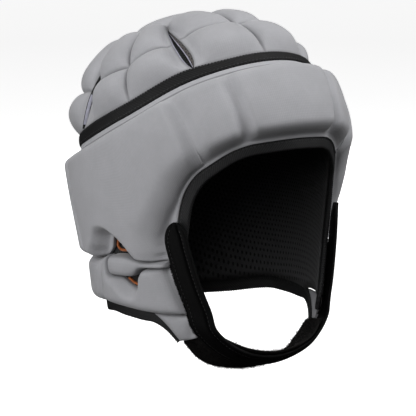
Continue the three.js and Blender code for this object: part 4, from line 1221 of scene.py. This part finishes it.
# %% Piping
PIPING_RADIUS, PIPING_HEIGHT, PIPING_SIDES, PIPING_STEP = 1.0, 2.4, 12, 0.6


def piping(name, node, rows, side):
    turn, height = np.array(rows).T
    line = spline(raised(wall_points(turn, height), PIPING_HEIGHT) * [side, 1, 1], 12)
    places, way, run = even(line, PIPING_STEP)
    up = head_normal(places)
    aside = np.cross(way, up)
    angle = np.linspace(0, 2 * np.pi, PIPING_SIDES, endpoint=False)[:, None]
    ring = np.cos(angle) * aside[:, None] + np.sin(angle) * up[:, None]
    v = np.linspace(0, 2 * np.pi * PIPING_RADIUS, PIPING_SIDES + 1)
    piece = ribbon(name, places[:, None] + PIPING_RADIUS * ring, weave_map(run, v))
    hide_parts(node)


for side, sign in zip(SIDES, (1, -1)):
    for level, rows in (("upper", UPPER_PIPING), ("lower", LOWER_PIPING)):
        piping(f"ear_cord_{level}_{side}", f"ear_piping_{level}_{side}", rows, sign)
print("piping", sum(name.startswith("ear_cord") for name in pieces))

# %% [markdown]
# ## Inside the vents
# A slit vent shows what lies below the crown. In the front vents that is a fold of mesh and a pale edging,
# in the side vents a fold, a dark strip of mesh that is painted shade for the shaded far wall of the slit,
# and a short pale patch. The lining could be pleated there, but a narrow strip below the slit's lips looks
# the same: a ribbon whose width is a share of the opening.

# %% Vent folds and edging
VENT_STATIONS, VENT_ROWS = 60, 5
VENT_OPEN = 0.25  # half opening from which a strip is seen
VENT_LENGTH, VENT_GIRTH = 50, 10  # size of a strip in its weave map
FOLD_THICK = 0.4
VENT_STRIPS = {  # share of the half opening and height at the two edges, start and end along the slit
    "front": {
        "fold": (1.1, 0.25, 3.9, 2.7, 0, 1, "mesh"),
        "edge_front": (0.3, 0.12, 2.9, 2.8, 0, 1, "pad_fabric"),
        "edge_rear": (-0.84, -1.05, 3.4, 3.9, 0, 1, "pad_fabric"),
    },
    "side": {
        "fold": (1.1, 0.25, 3.9, 2.7, 0, 1, "mesh"),
        # painted shade: a dark mesh strip that stands for the shaded far wall of the slit
        "wall": (-0.9, -1.1, 2.4, 5.6, 0, 1, "mesh"),
        "edge_rear": (-0.8, -1, 3.2, 5.2, 0.62, 0.92, "pad_fabric"),
    },
}


def vent_strip(name, rows, flip, strip):
    from_share, to_share, from_height, to_height, start, end, slot = strip
    slit = sample(spline(np.array(rows, float)[:, :3], 10), np.linspace(start, end, VENT_STATIONS))
    slit = slit[slit[:, 2] > VENT_OPEN]
    turn, fall, half_open = slit.T[..., None]
    t = np.linspace(0, 1, VENT_ROWS)
    part = from_share + (to_share - from_share) * t
    height = from_height + (to_height - from_height) * t
    places = crown_points(turn + flip * slit_turn(half_open, fall) * part, fall)
    upper, lower = raised(places, height), raised(places, height - FOLD_THICK)
    u, v = np.linspace(0, VENT_LENGTH, len(slit)), np.linspace(0, VENT_GIRTH, 2 * VENT_ROWS + 1)
    piece = ribbon(name, np.concatenate([upper, lower[:, ::-1]], axis=1), weave_map(u, v))


for side, about in zip(SIDES, (1, -1)):
    for place, rows in (("front", FRONT_SLIT), ("side", SIDE_SLIT)):
        own_rows = rows if about == 1 else mirror_rows(rows, 360)
        for part, strip in VENT_STRIPS[place].items():
            vent_strip(f"vent_{place}_{part}_{side}", own_rows, -about, strip)
print("vent strips", sum(name.startswith("vent") for name in pieces))

# %% [markdown]
# ## Stitches
# Rows of thread hold the tapes and the strap. At this scale a stitch is a small long bead that dips into
# the cloth at both ends. One low bead is scaled, turned and set down along each row.

# %% Stitch rows
STITCH_PITCH, STITCH_LENGTH, STITCH_THICK = 2.9, 2.1, 0.42
BAND_STITCH, BAND_STITCH_UP = 0.34, 0.55  # share of the band from its middle, height above its edge
TAPE_STITCH, TAPE_STITCH_UP = 0.22, 0.97  # shares of the tape's width and thickness
STRAP_STITCH, STRAP_STITCH_UP = 0.78, 0.96  # shares of a side band's width and height
STRAP_STITCH_FREE = 6  # places without stitches at each tip


def stitch_bead():
    bm = bmesh.new()
    bmesh.ops.create_uvsphere(bm, u_segments=6, v_segments=4, radius=0.5)
    return small_shape(bm)


def stitches(name, rows):
    """Each row is a line of places and the way out of the cloth at each."""
    bead, faces = stitch_bead()
    beads = []
    for line, out in rows:
        places, way, run = even(line, STITCH_PITCH)
        up = unit(sample(line, run / run[-1], out))
        axes = [np.cross(up, way) * STITCH_THICK, way * STITCH_LENGTH, up * STITCH_THICK]
        turned = [bead[:, k : k + 1] * axis[:, None] for k, axis in enumerate(axes)]
        beads.append(places[:, None] + sum(turned))
    scatter(name, np.concatenate(beads), faces)
    print(name, sum(len(row) for row in beads))


def band_rows():
    for inset in (-1, 1):
        places = crown_points(RING_TURNS, BAND_MIDDLE + inset * (BAND_FOOT - BAND_TOP) * BAND_STITCH)
        yield raised(places, BAND_OUTER + BAND_STITCH_UP), head_normal(places)


def binding_row(rows, outwards, width):
    points = wall_seam(rows).points
    normal = head_normal(points)
    beyond = np.cross(unit(np.gradient(points, axis=0)), normal) * outwards
    return points + beyond * (width * TAPE_STITCH) + normal * (TAPE_THICK * TAPE_STITCH_UP), normal


def strap_rows():
    places, out, back, run = strap_frame(strap_line(), STRAP_STEP)
    half, band = strap_widths(run)
    clear = slice(STRAP_STITCH_FREE, -STRAP_STITCH_FREE)
    for sign in (-1, 1):
        inset = half - STRAP_STITCH * band
        line = places + back * inset * sign + out * (STRAP_THICK * SIDE_BAND_UP * STRAP_STITCH_UP)
        yield line[clear], out[clear]


stitches("band_stitches", band_rows())
stitches("binding_stitches", [binding_row(face_rows, 1, FACE_WIDTH)])
stitches("strap_stitches", strap_rows())

# %% [markdown]
# ## Shader arithmetic
# Finishes are easier to read as sums than as a node graph. A small class wraps a socket, and each
# operator on it adds the Math node that does the sum. Every other node comes from one method.

# %% Wires
class Wire:
    """A shader socket that joins in plain arithmetic."""

    def __init__(self, finish, socket):
        self.finish, self.socket = finish, socket

    def math(self, operation, *values):
        return self.finish.node("Math", {"operation": operation}, dict(enumerate(values)))

    def __add__(self, other):
        return self.math("ADD", self, other)

    def __sub__(self, other):
        return self.math("SUBTRACT", self, other)

    def __rsub__(self, other):
        return self.math("SUBTRACT", other, self)

    def __mul__(self, other):
        return self.math("MULTIPLY", self, other)

    __radd__, __rmul__ = __add__, __mul__

    def sin(self):
        return self.math("SINE", self)

    def cos(self):
        return self.math("COSINE", self)

    def between(self, low, high):
        """0 below low, 1 above high, and a smooth rise between."""
        settings = {"interpolation_type": "SMOOTHSTEP"}
        return self.finish.node("MapRange", settings, {"Value": self, "From Min": low, "From Max": high})


print("wires add, subtract and multiply")

# %% Finish tools
class Finish:
    """A material: constants go straight to the shader's sockets, and what varies is wired to them."""

    def __init__(self, name, **constants):
        self.material = bpy.data.materials.new(name)
        self.material.use_nodes = True
        self.tree = self.material.node_tree
        self.shader = self.tree.nodes["Principled BSDF"]
        self.wire(**constants)

    def put(self, socket, value):
        if isinstance(value, Wire):
            self.tree.links.new(value.socket, socket)
        else:
            socket.default_value = value

    def node(self, kind, settings=None, sockets=None, out=0):
        node = self.tree.nodes.new("ShaderNode" + kind)
        for label, value in (settings or {}).items():
            setattr(node, label, value)
        for label, value in (sockets or {}).items():
            self.put(node.inputs[label], value)
        return Wire(self, node.outputs[out])

    def wire(self, **values):
        for label, value in values.items():
            self.put(self.shader.inputs[label.replace("_", " ").title().replace("Ior", "IOR")], value)

    def weave_axes(self):
        """The two directions of the cloth, in millimetres."""
        cloth = self.node("UVMap", {"uv_map": "UVMap"})
        both = [self.node("SeparateXYZ", None, {"Vector": cloth}, k) for k in (0, 1)]
        return [axis * 1000 for axis in both]

    def noise(self, scale, detail=2.0):
        """Noise from 0 to 1 with spots about 1 / scale metres wide."""
        place = self.node("TexCoord", None, None, "Object")
        return self.node("TexNoise", None, {"Vector": place, "Scale": scale, "Detail": detail}, "Fac")

    def blend(self, share, low, high):
        colours = {"Factor": share, 6: low, 7: high}
        return self.node("Mix", {"data_type": "RGBA"}, colours, 2)

    def relief(self, height_mm):
        sockets = {"Height": height_mm * 0.001, "Distance": 1.0, "Strength": 1.0}
        self.wire(normal=self.node("Bump", None, sockets))


def grey(value, tint=(1, 1, 1)):
    """A linear colour for a grey as it looks on screen, 0 to 255."""
    linear = ((value / 255 + 0.055) / 1.055) ** 2.4
    return (linear * tint[0], linear * tint[1], linear * tint[2], 1)


TURN = 2 * math.pi
COOL, WARM, BROWN, LILAC = (0.98, 0.982, 1.035), (1.12, 1, 0.96), (1.12, 1, 0.95), (0.95, 0.95, 1.15)
print("a middle grey is", [round(part, 3) for part in grey(128, COOL)])

# %% [markdown]
# ## Finishes
# The pads wear a fine grey knit: upright wales about a millimetre apart, crossed by courses. Close to a
# seam, and along the pressed line below the band, the colour is darkened as painted shade. The relief is
# kept as small as the real stitch, because a coarse one would make the foam look like a jumper.

# %% Knitted pad cover
WALE, COURSE = 1.15, 1.5


def pad_knit():
    finish = Finish("pad_knit", roughness=0.82, sheen_weight=0.25, sheen_roughness=0.5)
    u, v = finish.weave_axes()
    wales = (u * (TURN / WALE)).sin()
    courses = (v * (TURN / COURSE) + wales * 0.9).sin()
    gap = finish.node("Attribute", {"attribute_name": "seam_gap"}, None, "Fac") * 1000
    # painted shade: the cloth is darkened close to seams and along the pressed line below the band
    painted_seam_shade = 1 - gap.between(0.1, 2.2)
    mottle = finish.noise(55, 3) * 0.7 + finish.noise(420, 2) * 0.3
    cloth = finish.blend(mottle.between(0.25, 0.75), grey(170, COOL), grey(179, COOL))
    threads = (wales * 0.5 + courses * 0.5) * 0.5 + 0.5
    shaded = finish.blend(threads * 0.1, cloth, grey(120, COOL))
    finish.wire(base_color=finish.blend(painted_seam_shade * 0.55, shaded, grey(92, COOL)))
    finish.wire(roughness=0.78 + mottle * 0.12)
    finish.relief(wales * 0.018 + courses * 0.014 + finish.noise(160, 3) * 0.09)
    return finish.material


print("knit", WALE, "by", COURSE, "mm")

# %% [markdown]
# ## Black trims
# The band and the bindings are woven. Their rib crests are painted lighter and the gaps between ribs darker,
# as painted highlight and shade, and random wear greys them a little. The strap is a smooth dense knit, the
# loop pile a matt tangle, the thread a shade lighter than both. One black for all would melt them together,
# so each has its own tones, threads and gloss. Ribs, hoops and stitches are shapes already, so the relief
# holds only the threads.

# %% Black trims
def webbing(name, pitch, lean, dark, light):
    finish = Finish(name, roughness=0.6, specular_ior_level=0.25)
    u, v = finish.weave_axes()
    warp = (v * (TURN / 0.55)).sin()
    # painted highlight and shade: rib crests are lighter, the gaps between ribs darker
    ribs = ((u + v * lean) * (TURN / pitch)).cos() * 0.5 + 0.5
    worn = finish.noise(240, 3)
    # painted rib highlight and shade, the warp's pattern and random wear, together
    threads = ribs * 0.55 + (warp * 0.5 + 0.5) * 0.2 + worn * 0.25
    finish.wire(base_color=finish.blend(threads, grey(dark, COOL), grey(light, COOL)))
    finish.wire(roughness=0.5 + worn * 0.25)
    finish.relief(warp * 0.025 + worn * 0.05)
    return finish.material


def strap_cloth():
    finish = Finish("strap_cloth", roughness=0.6, specular_ior_level=0.08)
    u, v = finish.weave_axes()
    wales = (v * (TURN / 0.7)).sin()
    rows = (u * (TURN / 0.9) + wales).sin()
    lint = finish.noise(900, 2).between(0.62, 0.8)
    rub = finish.noise(70, 3)
    tone = finish.blend(rub.between(0.3, 0.7), grey(4, COOL), grey(9, COOL))
    finish.wire(base_color=finish.blend(lint * 0.05, tone, grey(80)))
    finish.wire(roughness=0.55 + rub * 0.2)
    finish.relief(wales * 0.012 + rows * 0.012 + rub * 0.08)
    return finish.material


def loop_pile():
    finish = Finish("loop_pile", roughness=0.95, specular_ior_level=0.2)
    tufts = finish.noise(700, 3)
    patches = finish.noise(90, 2)
    finish.wire(base_color=finish.blend(tufts.between(0.3, 0.75), grey(4, BROWN), grey(26, BROWN)))
    finish.wire(roughness=0.85 + patches * 0.15)
    finish.relief(tufts * 0.5 + patches * 0.3)
    return finish.material


def thread():
    finish = Finish("thread", roughness=0.5)
    ply = finish.noise(1500, 2)
    finish.wire(base_color=finish.blend(ply, grey(20), grey(58, COOL)))
    finish.relief(ply * 0.06)
    return finish.material


pile = loop_pile()
trims = {  # the ending of a piece's name, and its finish
    "_webbing": webbing("band_webbing", BAND_PITCH, BAND_LEAN, 2, 34),
    "_tape": webbing("binding_tape", TAPE_PITCH, TAPE_LEAN, 4, 50),
    "_cloth": strap_cloth(),
    "_pad": pile,
    "_pile": pile,
    "_stitches": thread(),
}
print("black trims", len(trims))

# %% [markdown]
# ## Mesh, piping and edging
# The lining is an open mesh with small round holes in staggered rows. The holes are dark spots with a
# rim, drawn from the cloth's own two directions, because cutting each one would cost a million faces.
# Three waves that cross at 60 degrees add up to just such a pattern. The piping is a twisted orange cord,
# and the edging in the vents a pale ribbon, each with the lines of its threads.

# %% Mesh, piping and edging
HOLE_PITCH = 2.6
DARK_MESH, INNER_MESH, FOLD_MESH = [
    (grey(dark, tint), grey(light, tint))
    for dark, light, tint in ((8, 26, COOL), (52, 90, COOL), (58, 96, WARM))
]


def mesh_cloth(name, dark, light):
    finish = Finish(name, roughness=0.75, sheen_weight=0.1)
    u, v = finish.weave_axes()
    row_gap = HOLE_PITCH * math.sqrt(3) / 2
    angles = (0, math.pi / 3, 2 * math.pi / 3)
    waves = [((u * math.cos(a) + v * math.sin(a)) * (TURN / row_gap)).cos() for a in angles]
    hole = (waves[0] + waves[1] + waves[2]).between(0.6, 1.8)
    fuzz = finish.noise(800, 2)
    inner = finish.node("Attribute", {"attribute_name": "inner_side"}, None, "Fac")
    cloth = finish.blend(inner, finish.blend(fuzz, dark, light), finish.blend(fuzz, *INNER_MESH))
    finish.wire(base_color=finish.blend(hole, cloth, grey(8)))
    finish.wire(roughness=0.65 + fuzz * 0.25)
    finish.relief(fuzz * 0.04 - hole * 0.3)
    return finish.material


def piping_cloth():
    finish = Finish("piping_cloth", roughness=0.6, sheen_weight=0.2)
    u, v = finish.weave_axes()
    twist = ((u + v * 0.8) * (TURN / 0.8)).sin()
    soil = finish.noise(260, 3)
    deep, bright = (0.30, 0.065, 0.004, 1), (0.56, 0.145, 0.010, 1)
    finish.wire(base_color=finish.blend(twist * 0.3 + soil * 0.7, deep, bright))
    finish.wire(roughness=0.5 + soil * 0.2)
    finish.relief(twist * 0.05)
    return finish.material


def edging():
    finish = Finish("vent_edging", roughness=0.6)
    u, _ = finish.weave_axes()
    threads = (u * (TURN / 0.9)).sin()
    soil = finish.noise(300, 2)
    finish.wire(base_color=finish.blend(soil, grey(150, LILAC), grey(205, LILAC)))
    finish.relief(threads * 0.04 + soil * 0.05)
    return finish.material


lining_mesh, fold_mesh = mesh_cloth("lining_mesh", *DARK_MESH), mesh_cloth("vent_mesh", *FOLD_MESH)
print("holes", HOLE_PITCH, "mm apart")

# %% Finishes on the pieces
ENDINGS = {"_cover": pad_knit(), "_mesh": lining_mesh, **trims}
STARTS = {  # for pieces whose name has none of these endings
    "ear_cord": piping_cloth(),
    "vent_front_fold": fold_mesh,
    "vent_side_fold": fold_mesh,
    # the dark strip in the side vents, painted shade for the slit's far wall
    "vent_side_wall": lining_mesh,
    "vent_": edging(),
    "strap_loop": pile,
    "strap_pile": pile,
}
for name, piece in pieces.items():
    by_end = [finish for ending, finish in ENDINGS.items() if name.endswith(ending)]
    by_start = [finish for start, finish in STARTS.items() if name.startswith(start)]
    piece.data.materials.append((by_end + by_start)[0])
    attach(piece, "root")
print("finished pieces", len(pieces))

# %% [markdown]
# ## The stage
# The headgear hangs at the height at which it is worn, above a plain white floor that curves up all
# round. One profile spun round the upright axis makes floor and wall without a corner, so every view has
# the same plain ground.

# %% Floor and wall
FLOOR_DEPTH, STAGE_RADIUS, STAGE_BEND, STAGE_HEIGHT = -0.34, 3.2, 1.2, 3.0
BEND_PLACES, SPIN_STEPS = 9, 64


def stage():
    bm = bmesh.new()
    bend = [
        (STAGE_RADIUS + STAGE_BEND * math.sin(a), FLOOR_DEPTH + STAGE_BEND * (1 - math.cos(a)))
        for a in np.radians(np.linspace(0, 90, BEND_PLACES))
    ]
    profile = [(0, FLOOR_DEPTH), *bend, (STAGE_RADIUS + STAGE_BEND, STAGE_HEIGHT)]
    corners = [bm.verts.new((r, 0, z)) for r, z in profile]
    edges = [bm.edges.new(pair) for pair in zip(corners, corners[1:])]
    bmesh.ops.spin(
        bm, geom=corners + edges, cent=(0, 0, 0), axis=(0, 0, 1), angle=TURN, steps=SPIN_STEPS,
        use_merge=True)
    bmesh.ops.remove_doubles(bm, verts=bm.verts[:], dist=MERGE)
    bmesh.ops.recalc_face_normals(bm, faces=bm.faces[:])
    bmesh.ops.reverse_faces(bm, faces=bm.faces[:])
    for face in bm.faces:
        face.smooth = True
    mesh = bpy.data.meshes.new("stage")
    bm.to_mesh(mesh)
    bm.free()
    ground = bpy.data.objects.new("stage", mesh)
    bpy.context.scene.collection.objects.link(ground)
    finish = Finish("stage", base_color=grey(235), roughness=0.9, emission_strength=0.85)
    finish.wire(emission_color=(1, 1, 1, 1))
    ground.data.materials.append(finish.material)
    ground.visible_diffuse = False
    ground.visible_glossy = False
    return ground


print("stage corners", len(stage().data.vertices))

# %% [markdown]
# ## Light
# A large soft box above and in front gives the pads their shape and leaves their undersides dark. Boxes
# at the left and on both sides of the front open up the temples, and a weak one behind gives the back of
# the crown an edge. Lamps without size would draw hard shadows, which cloth in soft light doesn't show.

# %% Soft boxes
LIGHTS = {  # place, size, power
    "top_box": ((0.1, -0.45, 1.5), (1.6, 1.4), 14.5),
    "left_box": ((-1.5, 0.3, -0.2), (0.9, 1.4), 17),
    "front_left_box": ((-1.1, -0.85, 0.75), (0.9, 1.2), 10),
    "front_right_box": ((1.1, -0.85, 0.75), (0.7, 1.2), 13),
    "back_box": ((0.9, 1.4, 0), (1.2, 1.2), 7),
}
AMBIENT = 0.02


def soft_box(name, place, size, power):
    data = bpy.data.lights.new(name, "AREA")
    data.shape = "RECTANGLE"
    data.size, data.size_y = size
    data.energy = power
    box = bpy.data.objects.new(name, data)
    box.location = place
    box.rotation_mode = "QUATERNION"
    box.rotation_quaternion = (AIM - Vector(place)).to_track_quat("-Z", "Y")
    bpy.context.scene.collection.objects.link(box)


for name, row in LIGHTS.items():
    soft_box(name, *row)
world = bpy.data.worlds.new("world")
bpy.context.scene.world = world
world.use_nodes = True
world.node_tree.nodes["Background"].inputs["Color"].default_value = (1, 1, 1, 1)
world.node_tree.nodes["Background"].inputs["Strength"].default_value = AMBIENT
bpy.context.scene.view_settings.view_transform = "Standard"
print("lights", len(LIGHTS))
